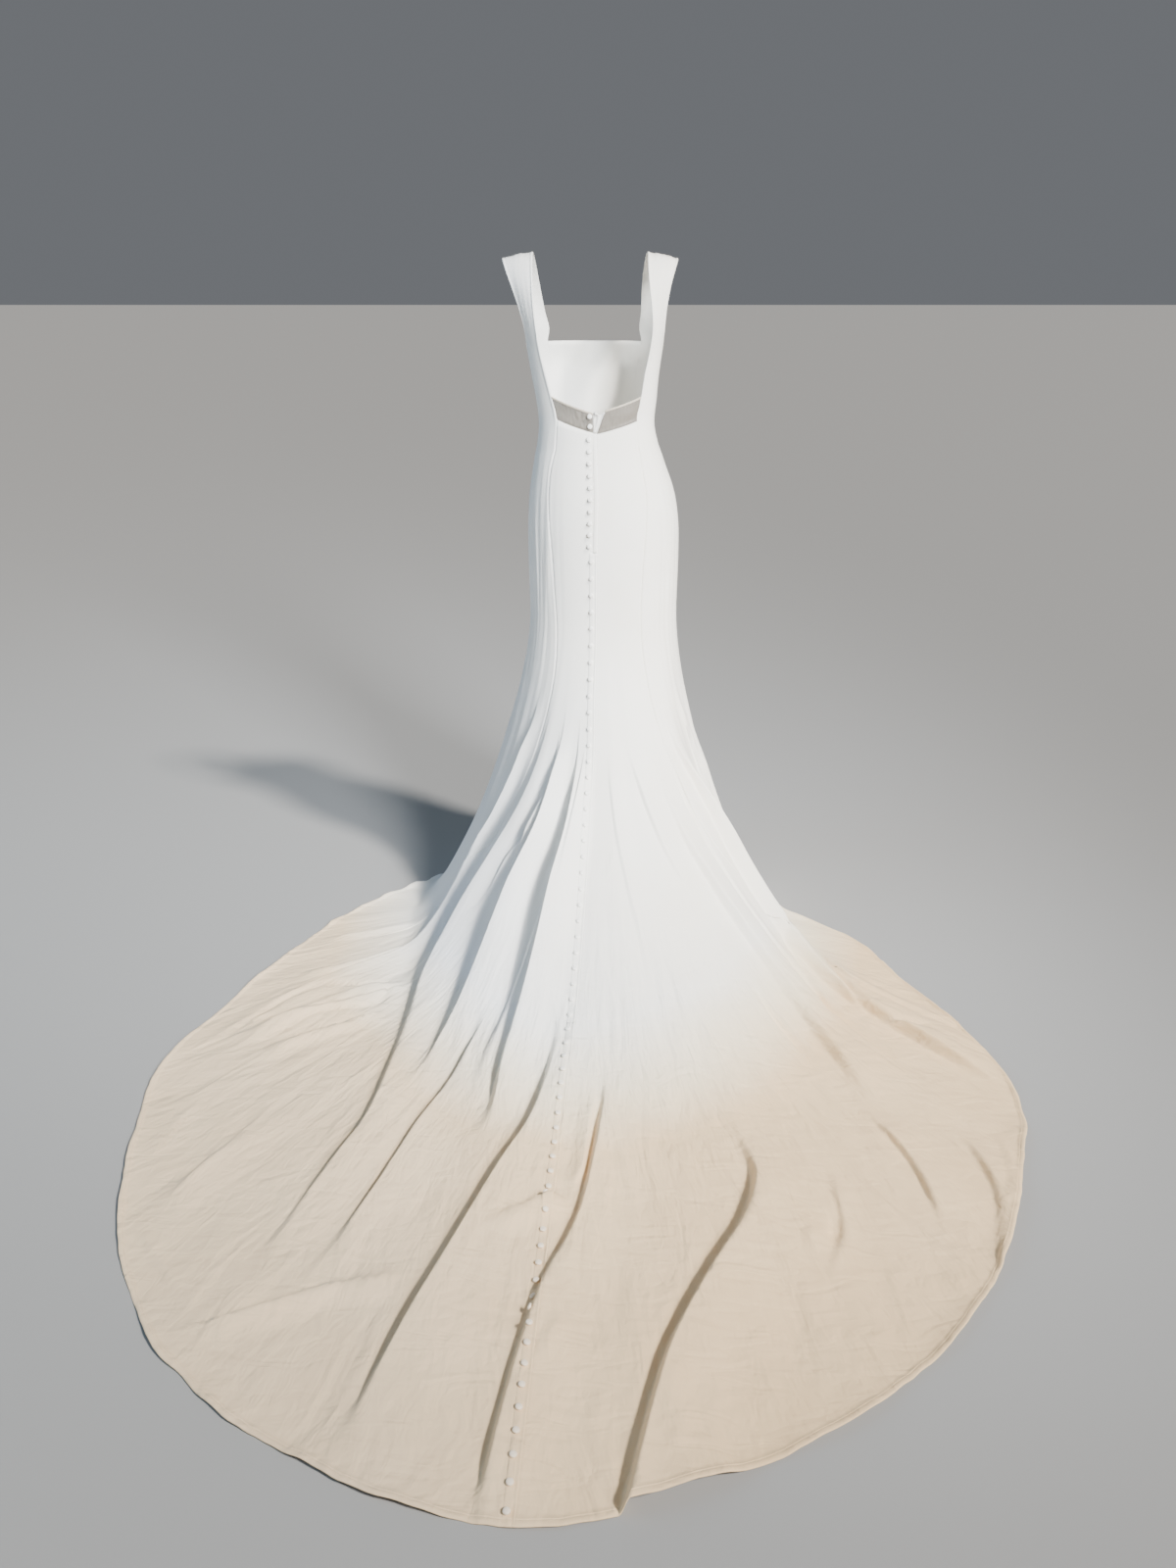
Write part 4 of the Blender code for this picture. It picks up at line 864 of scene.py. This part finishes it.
def crepe_material(name):
    """Ivory crepe: a fine pebbled face and soft wrinkles."""
    material, tree, shader, place = nodes_of(name, (0.80, 0.76, 0.70), 0.72, Sheen_Weight=0.15,
                                             Sheen_Roughness=0.4, Specular_IOR_Level=0.2)
    axes = add(tree, "ShaderNodeSeparateXYZ", Vector=place).outputs
    pebble = noise_texture(tree, mapping(tree, place, (1, 1, 0.6)), 1100.0, 3.0, 0.6)
    normal = bump(tree, pebble, 0.30, 0.0006)
    far = distance_out(tree, axes)
    lying = maths(tree, "MULTIPLY", between(tree, axes["Z"], -1.05, -1.42), between(tree, far, 0.40, 0.85))
    turn = maths(tree, "ARCTAN2", axes["X"], axes["Y"])
    rays = add(tree, "ShaderNodeCombineXYZ", X=turn, Y=far, Z=axes["Z"]).outputs[0]
    # Wrinkles that run outwards from the body, in two sizes, and a few that cross them.
    for where, stretch, turned, scale, detail, twist, strength, depth in (
        (rays, (22.0, 5.0, 5.0), 0.0, 1.0, 3.0, 0.8, 0.8, 0.0110),
        (rays, (60.0, 14.0, 14.0), 0.15, 1.0, 3.0, 1.0, 0.6, 0.0050),
        (place, (0.4, 1.0, 1.0), -0.7, 24.0, 2.0, 1.4, 0.9, 0.0045),
    ):
        wrinkles = noise_texture(tree, mapping(tree, where, stretch, turned), scale, detail, 0.5, twist)
        normal = bump(tree, maths(tree, "MULTIPLY", wrinkles, lying), strength, depth, normal)
    rough = ramp(tree, pebble, 0.3, 0.7, (0.66,) * 3, (0.82,) * 3)
    # The base colour is painted light and shade, with the cloth's own random mottle.
    feed_all(tree, shader, Base_Color=painted_light_and_mottle(tree, place, axes), Roughness=rough, Normal=normal)
    return material


def net_material():
    """Sheer net: a fine mesh of threads that lets most of what is behind it show."""
    material, tree, shader, place = nodes_of("illusion net", (0.22, 0.195, 0.165), 0.6, Alpha=0.80,
                                             Sheen_Weight=0.1)
    cells = add(tree, "ShaderNodeTexVoronoi", Vector=place, Scale=900.0)
    cells.feature = "DISTANCE_TO_EDGE"
    threads = cells.outputs["Distance"]
    tone = ramp(tree, threads, 0.0, 0.25, (0.30, 0.27, 0.23), (0.13, 0.115, 0.095))
    feed_all(tree, shader, Base_Color=tone, Normal=bump(tree, threads, 0.5, 0.0004))
    return material


def tape_material(name, colour):
    """Narrow woven tape and thread."""
    material, tree, shader, place = nodes_of(name, colour, 0.6, Sheen_Weight=0.15)
    rib = add(tree, "ShaderNodeTexWave", Vector=mapping(tree, place, (1, 1, 1)), Scale=420.0, Distortion=0.6)
    darker = tuple(0.88 * c for c in colour)
    tone = ramp(tree, noise_texture(tree, place, 60.0), 0.3, 0.7, darker, colour)
    feed_all(tree, shader, Base_Color=tone, Normal=bump(tree, rib.outputs["Fac"], 0.4, 0.0003))
    return material


def button_material():
    """Satin-faced crepe pulled tight over a button's dome."""
    material, tree, shader, place = nodes_of("covered button", (0.90, 0.88, 0.84), 0.5, Sheen_Weight=0.2)
    axes = add(tree, "ShaderNodeSeparateXYZ", Vector=place).outputs
    # The button's colour takes the cloth's painted light and shade, mixed with a lighter ivory.
    tone = mixed(tree, "MIX", painted_light_and_mottle(tree, place, axes), (0.95, 0.94, 0.91, 1), 0.45)
    grain = noise_texture(tree, place, 1400.0, 2.0)
    feed_all(tree, shader, Base_Color=tone, Normal=bump(tree, grain, 0.25, 0.0003))
    return material


CREPE = crepe_material("ivory crepe")
NET = net_material()
TAPE = tape_material("binding tape", (0.82, 0.80, 0.76))
BINDING = tape_material("net binding", (0.56, 0.50, 0.41))
ZIP = tape_material("zip tape", (0.84, 0.83, 0.80))
BUTTON = button_material()


# ---- Panels ----

PANELS = {  # the seams at its two edges, columns of points between them, cut width, cut length, flat area
    "centre_back_left": (CENTRE_BACK, BACK_L, 188, 1.05, 2.95, 1.34),
    "centre_back_right": (BACK_R, CENTRE_BACK, 188, 1.10, 2.95, 1.25),
    "centre_front": (FRONT_L, FRONT_R, 70, 0.56, 1.33, 0.42),
    "side_back_left": (BACK_L, SIDE_L, 84, 0.55, 1.75, 0.30),
    "side_front_left": (SIDE_L, FRONT_L, 40, 0.35, 1.60, 0.21),
    "side_back_right": (SIDE_R, BACK_R, 84, 0.65, 1.85, 0.38),
    "side_front_right": (FRONT_R, SIDE_R, 40, 0.35, 1.60, 0.21),
}
FOLLOWING = 3  # one part in so many of the front's width, at each side, follows the side panels


def dressed(made, slot, material, *nodes):
    """Gives a piece its material, and has it stand for nodes of the part."""
    made.data.materials.append(material)
    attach(made, "root")
    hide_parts(*nodes)
    return made


def side_panel(first, last, count, side, at_back, rows, strap):
    """A side panel with its half of the strap, whose rows run down to the panel."""
    if side < 0:
        rows = [(-last, high, -first, low) for first, low, last, high in rows]

    def half_strap(share):
        made = strap_rows(strap, share, side, (side < 0) == at_back)
        return made[::-1] if at_back else made

    return whole_panel(first, last, count, rows, half_strap)


def make_panels():
    low, corner = CENTRE_BACK_TOP
    middle = seam_angle(CENTRE_BACK, low)
    tops = {
        "centre_back_left": [(middle, low, seam_angle(BACK_L, corner), corner)],
        "centre_back_right": [(seam_angle(BACK_R, corner), corner, middle, low)],
        "centre_front": [
            (seam_angle(FRONT_L, height), height, 360 - seam_angle(FRONT_L, height), height)
            for height, _ in FRONT_ROWS
        ],
    }
    back = [(angle, low, 90, high) for angle, low, high in SIDE_BACK_ROWS], STRAP[: SHOULDER_ROW + 1]
    front = [(90, high, seam_angle(FRONT_L, low), low) for low, high in FRONT_ROWS], STRAP[SHOULDER_ROW:]
    grids = {}
    for name, (first, last, count, *_) in PANELS.items():
        if name in tops:
            grids[name] = whole_panel(first, last, count, tops[name])
        else:
            side, at_back = 1 if name.endswith("left") else -1, name.startswith("side_back")
            grids[name] = side_panel(first, last, count, side, at_back, *(back if at_back else front))
    # The front's seams follow the side panels' up to the corners of the neckline.
    points = grids["centre_front"][0]
    across = np.linspace(0, 1, points.shape[1])
    for column, word, beside in ((0, "left", -1), (-1, "right", 0)):
        seam, edge = grids["side_front_" + word][0][::-1, beside], points[:, column]
        met = np.stack([np.interp(edge[:, 2], seam[:, 2], seam[:, axis]) for axis in range(3)], -1)
        step = (met - edge) * (edge[:, 2] > FRONT_ROWS[1][0])[:, None]
        near = np.clip(1 - FOLLOWING * (across if column == 0 else across[::-1]), 0, 1) ** 2
        points += step[:, None] * near[:, None]
    for name, (points, lift) in grids.items():
        made = dressed(shell("cloth_" + name, points, lift), "crepe", CREPE, name)


make_panels()


# ---- The closing down the centre back ----

PLACKET_PROFILE = [  # offset towards +X from the seam, lift
    (-0.0046, -0.0003), (-0.0043, 0.0009), (-0.0036, 0.0015), (-0.0022, 0.0018), (0.0, 0.0016),
    (0.0022, 0.0018), (0.0036, 0.0015), (0.0043, 0.0009), (0.0046, -0.0003),
]
STRIP_PROFILE = [
    (-0.0045, -0.0005), (-0.0039, 0.0004), (-0.0030, 0.0012), (-0.0020, 0.0016), (-0.0008, 0.0014),
    (0.0004, 0.0008), (0.0020, 0.0006), (0.0050, 0.0007), (0.0085, 0.0008), (0.0115, 0.0006),
    (0.0138, 0.0004), (0.0145, -0.0004),
]
BUTTON_PROFILE = [  # share of the height, share of the radius
    (0.00, 0.40), (0.20, 0.42), (0.25, 0.88), (0.34, 0.99), (0.58, 1.00), (0.76, 0.93), (0.91, 0.72),
    (0.98, 0.40),
]
BUTTON_SIDES = 24
FACING_STEP = 0.002
PLACKET_ROWS, STRIP_ROW, STRIP_GAP = 60, 0.005, 0.0006  # the gap is below the placket
SEAM_SAMPLES = (100, 1400)  # points of the seam that are measured, on the hips and on the skirt
SHANK, CLOSING_SHANK, INSET_SHANK = 0.0010, 0.0018, 0.0004  # how far the buttons stand off the cloth
THREAD = 0.00055
LOOP_HALF = 0.0022  # half the distance between a loop's two ends
LOOP_RISE, LOOP_HEIGHT = 0.0008, 0.0009  # above the lip, and above the cloth round the button's foot
LOOP_REACH, LOOP_OPENING = 0.44, 0.75  # its radius as a share of the button's width, and half its gap
BUTTON_TURN = 40  # how fast the decorative buttons' facets turn with the level
STITCH_OFFSET, STITCH_RISE = -0.0048, 0.0006


def on_cloth(level, offset):
    """Points of the cloth at levels, and at offsets towards +X from the centre-back seam."""
    seam = smooth(SEAMS, CENTRE_BACK, level)
    angle = seam + degrees(1.0, seam, level) * offset
    length = skirt_length(np.array([SEAMS[-1][CENTRE_BACK]]))[0]
    return fine_point(angle, level, (1 - np.maximum(level, 0)) * length)


def strip_piece(name, levels, profile):
    offsets = np.array([offset for offset, _ in profile])
    grid_levels = levels[:, None] + 0 * offsets
    points = on_cloth(grid_levels, offsets + 0 * grid_levels)
    lift = np.array([lift for _, lift in profile]) + 0 * grid_levels
    return shell(name, points, lift, STRIP_WALL)


def facing_at(level, offset):
    """The place and outward direction of the cloth at one level and offset."""
    near = np.array([[level - FACING_STEP, level + FACING_STEP], [level, level]])
    across = np.array([[offset, offset], [offset - FACING_STEP, offset + FACING_STEP]])
    points = on_cloth(near, across)
    place = on_cloth(np.array([level]), np.array([offset]))[0]
    return place, unit(np.cross(points[1, 1] - points[1, 0], points[0, 1] - points[0, 0]))


def button_part(place, normal, turn=0.0):
    """Vertices and faces of a domed covered button."""
    side = unit(np.cross(normal, (1, 0, 0)))
    other = np.cross(normal, side)
    turns = turn + np.arange(BUTTON_SIDES) * 2 * math.pi / BUTTON_SIDES
    ring = np.cos(turns)[:, None] * side + np.sin(turns)[:, None] * other
    vertices = [place[None]]
    for high, wide in BUTTON_PROFILE:
        vertices.append(place + normal * high * BUTTON_HEIGHT + ring * wide * BUTTON_WIDTH / 2)
    vertices.append((place + normal * BUTTON_HEIGHT)[None])
    count = 1 + BUTTON_SIDES * len(BUTTON_PROFILE)
    faces = []
    for i in range(BUTTON_SIDES):
        j = (i + 1) % BUTTON_SIDES
        faces.append((0, 1 + i, 1 + j))
        for row in range(len(BUTTON_PROFILE) - 1):
            low, high = 1 + row * BUTTON_SIDES, 1 + (row + 1) * BUTTON_SIDES
            faces.append((low + i, high + i, high + j, low + j))
        faces.append((count - BUTTON_SIDES + i, count, count - BUTTON_SIDES + j))
    return np.concatenate(vertices), faces


def tube_part(path, radius, sides=8):
    """Vertices and faces of a thread that follows points."""
    path = np.array(path)
    ahead = unit(np.gradient(path, axis=0))
    up = unit(np.cross(ahead, (0.3, 0.1, 1.0)))
    other = np.cross(ahead, up)
    turns = np.arange(sides) * 2 * math.pi / sides
    round_it = np.cos(turns)[:, None] * up[:, None] + np.sin(turns)[:, None] * other[:, None]
    rings = path[:, None] + radius * round_it
    faces = []
    for row in range(len(path) - 1):
        for i in range(sides):
            j = (i + 1) % sides
            faces.append((row * sides + i, row * sides + j, (row + 1) * sides + j, (row + 1) * sides + i))
    faces.append(tuple(range(sides))[::-1])
    faces.append(tuple((len(path) - 1) * sides + i for i in range(sides)))
    return rings.reshape(-1, 3), faces


def joined(name, parts):
    vertices, faces, count = [], [], 0
    for part_vertices, part_faces in parts:
        vertices.append(part_vertices)
        faces += [tuple(count + i for i in face) for face in part_faces]
        count += len(part_vertices)
    vertices = np.concatenate(vertices)
    vertices[:, 2] -= STRAP_HEIGHT
    return mesh_object(name, vertices, faces)


def closing_button(number, part):
    dressed(joined(f"covered_button_{number:02d}", [part]), "buttons", BUTTON, f"button_{number:02d}")


def loop_path(place, normal, lip):
    """A loop of thread from the placket's lip round a button's foot and back."""
    towards = lip - place
    towards = unit(towards - normal * (towards @ normal))
    side = np.cross(normal, towards)
    reach = BUTTON_WIDTH * LOOP_REACH
    path = [lip + side * LOOP_HALF + normal * LOOP_RISE]
    for turn in np.linspace(LOOP_OPENING, 2 * math.pi - LOOP_OPENING, 15):
        round_foot = math.cos(turn) * towards + math.sin(turn) * side
        path.append(place + reach * round_foot + normal * LOOP_HEIGHT)
    return path + [lip - side * LOOP_HALF + normal * LOOP_RISE]


def make_closing():
    levels = BREAK_HEIGHT - np.linspace(PLACKET_TOP, PLACKET_END, PLACKET_ROWS)
    lip = dressed(strip_piece("cloth_placket", levels, PLACKET_PROFILE), "crepe", CREPE, "zip_placket")
    start = BREAK_HEIGHT - PLACKET_END
    on_hips, on_skirt = SEAM_SAMPLES
    dense = np.concatenate([np.linspace(start, 0, on_hips, endpoint=False), np.linspace(0, 1, on_skirt)])
    line = on_cloth(dense, 0 * dense)
    gone = from_zero(steps_of(line))
    pitch = gone[-1] / DECORATIVE_BUTTONS
    places = np.interp((np.arange(DECORATIVE_BUTTONS) + 0.5) * pitch, gone, dense)
    split = DECORATIVE_BUTTONS // 2
    cut = (places[split - 1] + places[split]) / 2
    spans = {"skirt": (start + STRIP_GAP, cut, places[:split]), "train": (cut, 1.0, places[split:])}
    for word, (first, last, levels) in spans.items():
        low, high = np.interp([first, last], dense, gone)
        rows = np.interp(np.linspace(low, high, int((high - low) / STRIP_ROW)), gone, dense)
        node = f"button_strip_{word}"
        band = dressed(strip_piece(f"cloth_{node}", rows, STRIP_PROFILE), "crepe", CREPE, node)
        parts = []
        for level in levels:
            place, normal = facing_at(level, BUTTON_OFFSET)
            parts.append(button_part(place + normal * SHANK, normal, level * BUTTON_TURN))
        dressed(joined(f"buttons_{word}", parts), "buttons", BUTTON, node)
    loops = []
    for number, height in enumerate(CLOSING_HEIGHTS, 3):
        level = BREAK_HEIGHT - height
        place, normal = facing_at(level, CLOSING_OFFSET)
        closing_button(number, button_part(place + normal * CLOSING_SHANK, normal, number))
        edge = facing_at(level, PLACKET_WIDTH / 2)[0]
        loops.append(tube_part(loop_path(place, normal, edge), THREAD))
        low, high = (facing_at(end, STITCH_OFFSET)[0] for end in (level - LOOP_HALF, level + LOOP_HALF))
        loops.append(tube_part(np.linspace(low, high, 5) + normal * STITCH_RISE, THREAD))
    dressed(joined("button_loops", loops), "tape", TAPE, "zip_placket")


make_closing()


# ---- The insets, their bindings and the zip ----

BINDING_PROFILE = [  # share of the binding's width, lift
    (-0.06, -0.0003), (0.04, 0.0007), (0.25, 0.0012), (0.5, 0.0013), (0.75, 0.0012), (0.96, 0.0007),
    (1.06, -0.0003),
]
INSET_COLUMNS, INSET_ROWS, INSET_FOOT = 60, 22, -0.06  # the foot goes on a little inside the panel
SAG, FOOT_SAG, FOOT_HEIGHT, NET_RIPPLE, BINDING_RIPPLE = 0.0016, 0.0018, 0.08, 0.0006, 0.0002
ZIP_ANGLE = 2.0
TAPE_WAVE, TAPE_FOLD, TAPE_RIPPLE, TAPE_DEPTH = 0.0030, 0.0012, 0.0008, 0.0006
COIL_STEPS, COIL_TURNS, COIL_HALF, COIL_THREAD = 240, 24, 0.0013, 0.00032
TAPE_END = 0.0019  # radius of the tape's turned ends


def inset_surface(side, angle_low, angle_high, height_zip, height_strap, up, share):
    """Angles and heights of an inset. Up runs from foot to bound edge, and share from the zip outwards."""
    low, corner = CENTRE_BACK_TOP
    middle, end = seam_angle(CENTRE_BACK, low), side * SIDE_BACK_ROWS[-1][0]
    low += (corner - low) * (angle_low - middle) / (end - middle)
    near_angle, near_height = angle_low + (angle_high - angle_low) * up, low + (height_zip - low) * up
    far_height = corner + (height_strap - corner) * up
    edge = [(height, angle) for angle, height, _ in reversed(SIDE_BACK_ROWS)]
    far_angle = side * np.interp(far_height, *zip(*edge))
    return near_angle + (far_angle - near_angle) * share, near_height + (far_height - near_height) * share


def inset_points(sizes, up, share):
    share, up = np.meshgrid(share, up)
    angles, heights = inset_surface(*sizes, up, share)
    points = body_point(angles, heights)
    # The net gives a little between its edges, and its foot lies inside the panel.
    sag = SAG * np.sin(math.pi * np.clip(share, 0, 1)) * np.sin(math.pi * np.clip(up, 0, 1))
    sag += FOOT_SAG * (1 - rise(up, 0, FOOT_HEIGHT))
    ripple = NET_RIPPLE * perlin(angles * 0.35, heights * 60, 12)
    return points + outward(points) * (ripple - sag)[..., None]


def in_order(points, side):
    return points if side > 0 else points[:, ::-1]


def make_insets():
    for sizes in ILLUSION:
        side = sizes[0]
        word = "left" if side > 0 else "right"
        columns = np.linspace(0, 1, INSET_COLUMNS)
        points = in_order(inset_points(sizes, np.linspace(1, INSET_FOOT, INSET_ROWS), columns), side)
        net = shell(f"net_{word}", points, 0 * points[..., 0], NET_WALL)
        dressed(net, "mesh", NET, f"illusion_{word}")
        tall = np.linalg.norm(points[-1] - points[0], axis=-1).mean()
        across, lifts = np.array(BINDING_PROFILE).T
        edge = in_order(inset_points(sizes, 1 - BINDING_WIDTH / tall * across, columns), side)
        lift = lifts[:, None] + 0 * edge[..., 0] + BINDING_RIPPLE * np.sin(np.arange(INSET_COLUMNS) * 2.4)
        name = f"illusion_binding_{word}"
        band = dressed(shell(f"cloth_{name}", edge, lift, BINDING_WALL), "tape", BINDING, name)


def make_zip():
    """The zip's tape, folded over at its top, with its coil, and the two buttons beside it."""
    left, right = ILLUSION
    rows, columns = 26, 13
    up, share = np.meshgrid(np.linspace(1, 0, rows), np.linspace(0, 1, columns), indexing="ij")
    heights = ZIP_LOW + (ZIP_TOP - ZIP_LOW) * up + TAPE_WAVE * up * np.sin(share * 9)
    first, last = left[1] - 0.1, right[1] + (right[2] - right[1]) * up + 0.1
    angles = last + (first - last) * (1 - share)
    points = body_point(angles[:, ::-1], heights[:, ::-1])
    fold = TAPE_FOLD * up * np.sin(share * 11 + up * 3) + TAPE_RIPPLE * np.sin(share * 17)
    points += outward(points) * (fold - TAPE_DEPTH)[:, ::-1, None]
    made = dressed(shell("zip_tape", points, 0 * fold, TAPE_WALL), "tape", ZIP, "zip")
    heights = np.linspace(ZIP_LOW - 0.002, ZIP_TOP - 0.004, COIL_STEPS)
    middle = body_point(np.full(COIL_STEPS, ZIP_ANGLE), heights)
    turn = np.linspace(0, 2 * math.pi * COIL_TURNS, COIL_STEPS)
    coil = middle + np.stack([COIL_HALF * np.cos(turn), 0.0011 + 0.0007 * np.sin(turn), 0 * turn], -1)
    parts = [tube_part(coil, COIL_THREAD, 6)]
    # The tape's ends, turned over into soft loops.
    for x, lean, size in ((-0.0035, 0.0, 0.0026), (-0.0095, 0.0022, 0.0022)):
        foot = body_point(np.array([ZIP_ANGLE]), np.array([ZIP_TOP - 0.002]))[0] + (x, 0.0012, 0)
        turn = np.linspace(-0.6, 3.9, 16)
        path = [foot + (lean * t, size * math.sin(t) * 0.6, size * (1 - math.cos(t))) for t in turn]
        parts.append(tube_part(path, TAPE_END, 12))
    dressed(joined("zip_coil", parts), "tape", ZIP, "zip")
    for number, (height, lift) in enumerate(INSET_BUTTONS, 1):
        place = body_point(np.array([left[1]]), np.array([height]))[0] + (INSET_BUTTON_OFFSET, 0, 0)
        normal = unit(np.array([0.05, 0.99, 0.05]))
        closing_button(number, button_part(place + normal * (lift + INSET_SHANK), normal))


make_insets()
make_zip()


# ---- Stage, light and camera ----

FLOOR_HALF = 40.0


def make_stage():
    corners = [(x * FLOOR_HALF, y * FLOOR_HALF, 0) for x, y in ((-1, -1), (1, -1), (1, 1), (-1, 1))]
    floor = mesh_object("floor", corners, [(0, 1, 2, 3)])
    floor.location.z = -STRAP_HEIGHT
    floor.data.materials.append(nodes_of("pale floor", (0.32, 0.32, 0.32), 0.9)[0])
    world = bpy.data.worlds.new("studio")
    bpy.context.scene.world = world
    world.use_nodes = True
    background = world.node_tree.nodes["Background"]
    background.inputs["Color"].default_value = (0.60, 0.63, 0.68, 1)
    background.inputs["Strength"].default_value = 0.26


def make_light(name, kind, place, aim, size, power, colour, spread=180):
    data = bpy.data.lights.new(name, kind)
    data.energy = power
    data.color = colour
    if kind == "SUN":
        data.angle = size
    else:
        data.size = size
        data.spread = math.radians(spread)
    light = placed(name, data)
    light.location = place
    light.rotation_euler = (Vector(aim) - Vector(place)).to_track_quat("-Z", "Y").to_euler()


make_stage()
make_light("key", "SUN", (-3.1, 2.8, 2.9), (0, 0.3, -1.2), math.radians(5), 5.2, (1.0, 0.955, 0.89))
make_light("fill", "AREA", (3.2, 1.2, 0.6), (0, 0.5, -0.9), 2.2, 50, (0.50, 0.76, 1.0))
make_light("body", "AREA", (-1.8, 3.3, 0.9), (-0.05, 0.1, -0.75), 1.0, 38, (0.95, 0.98, 1.0), 50)
make_camera()
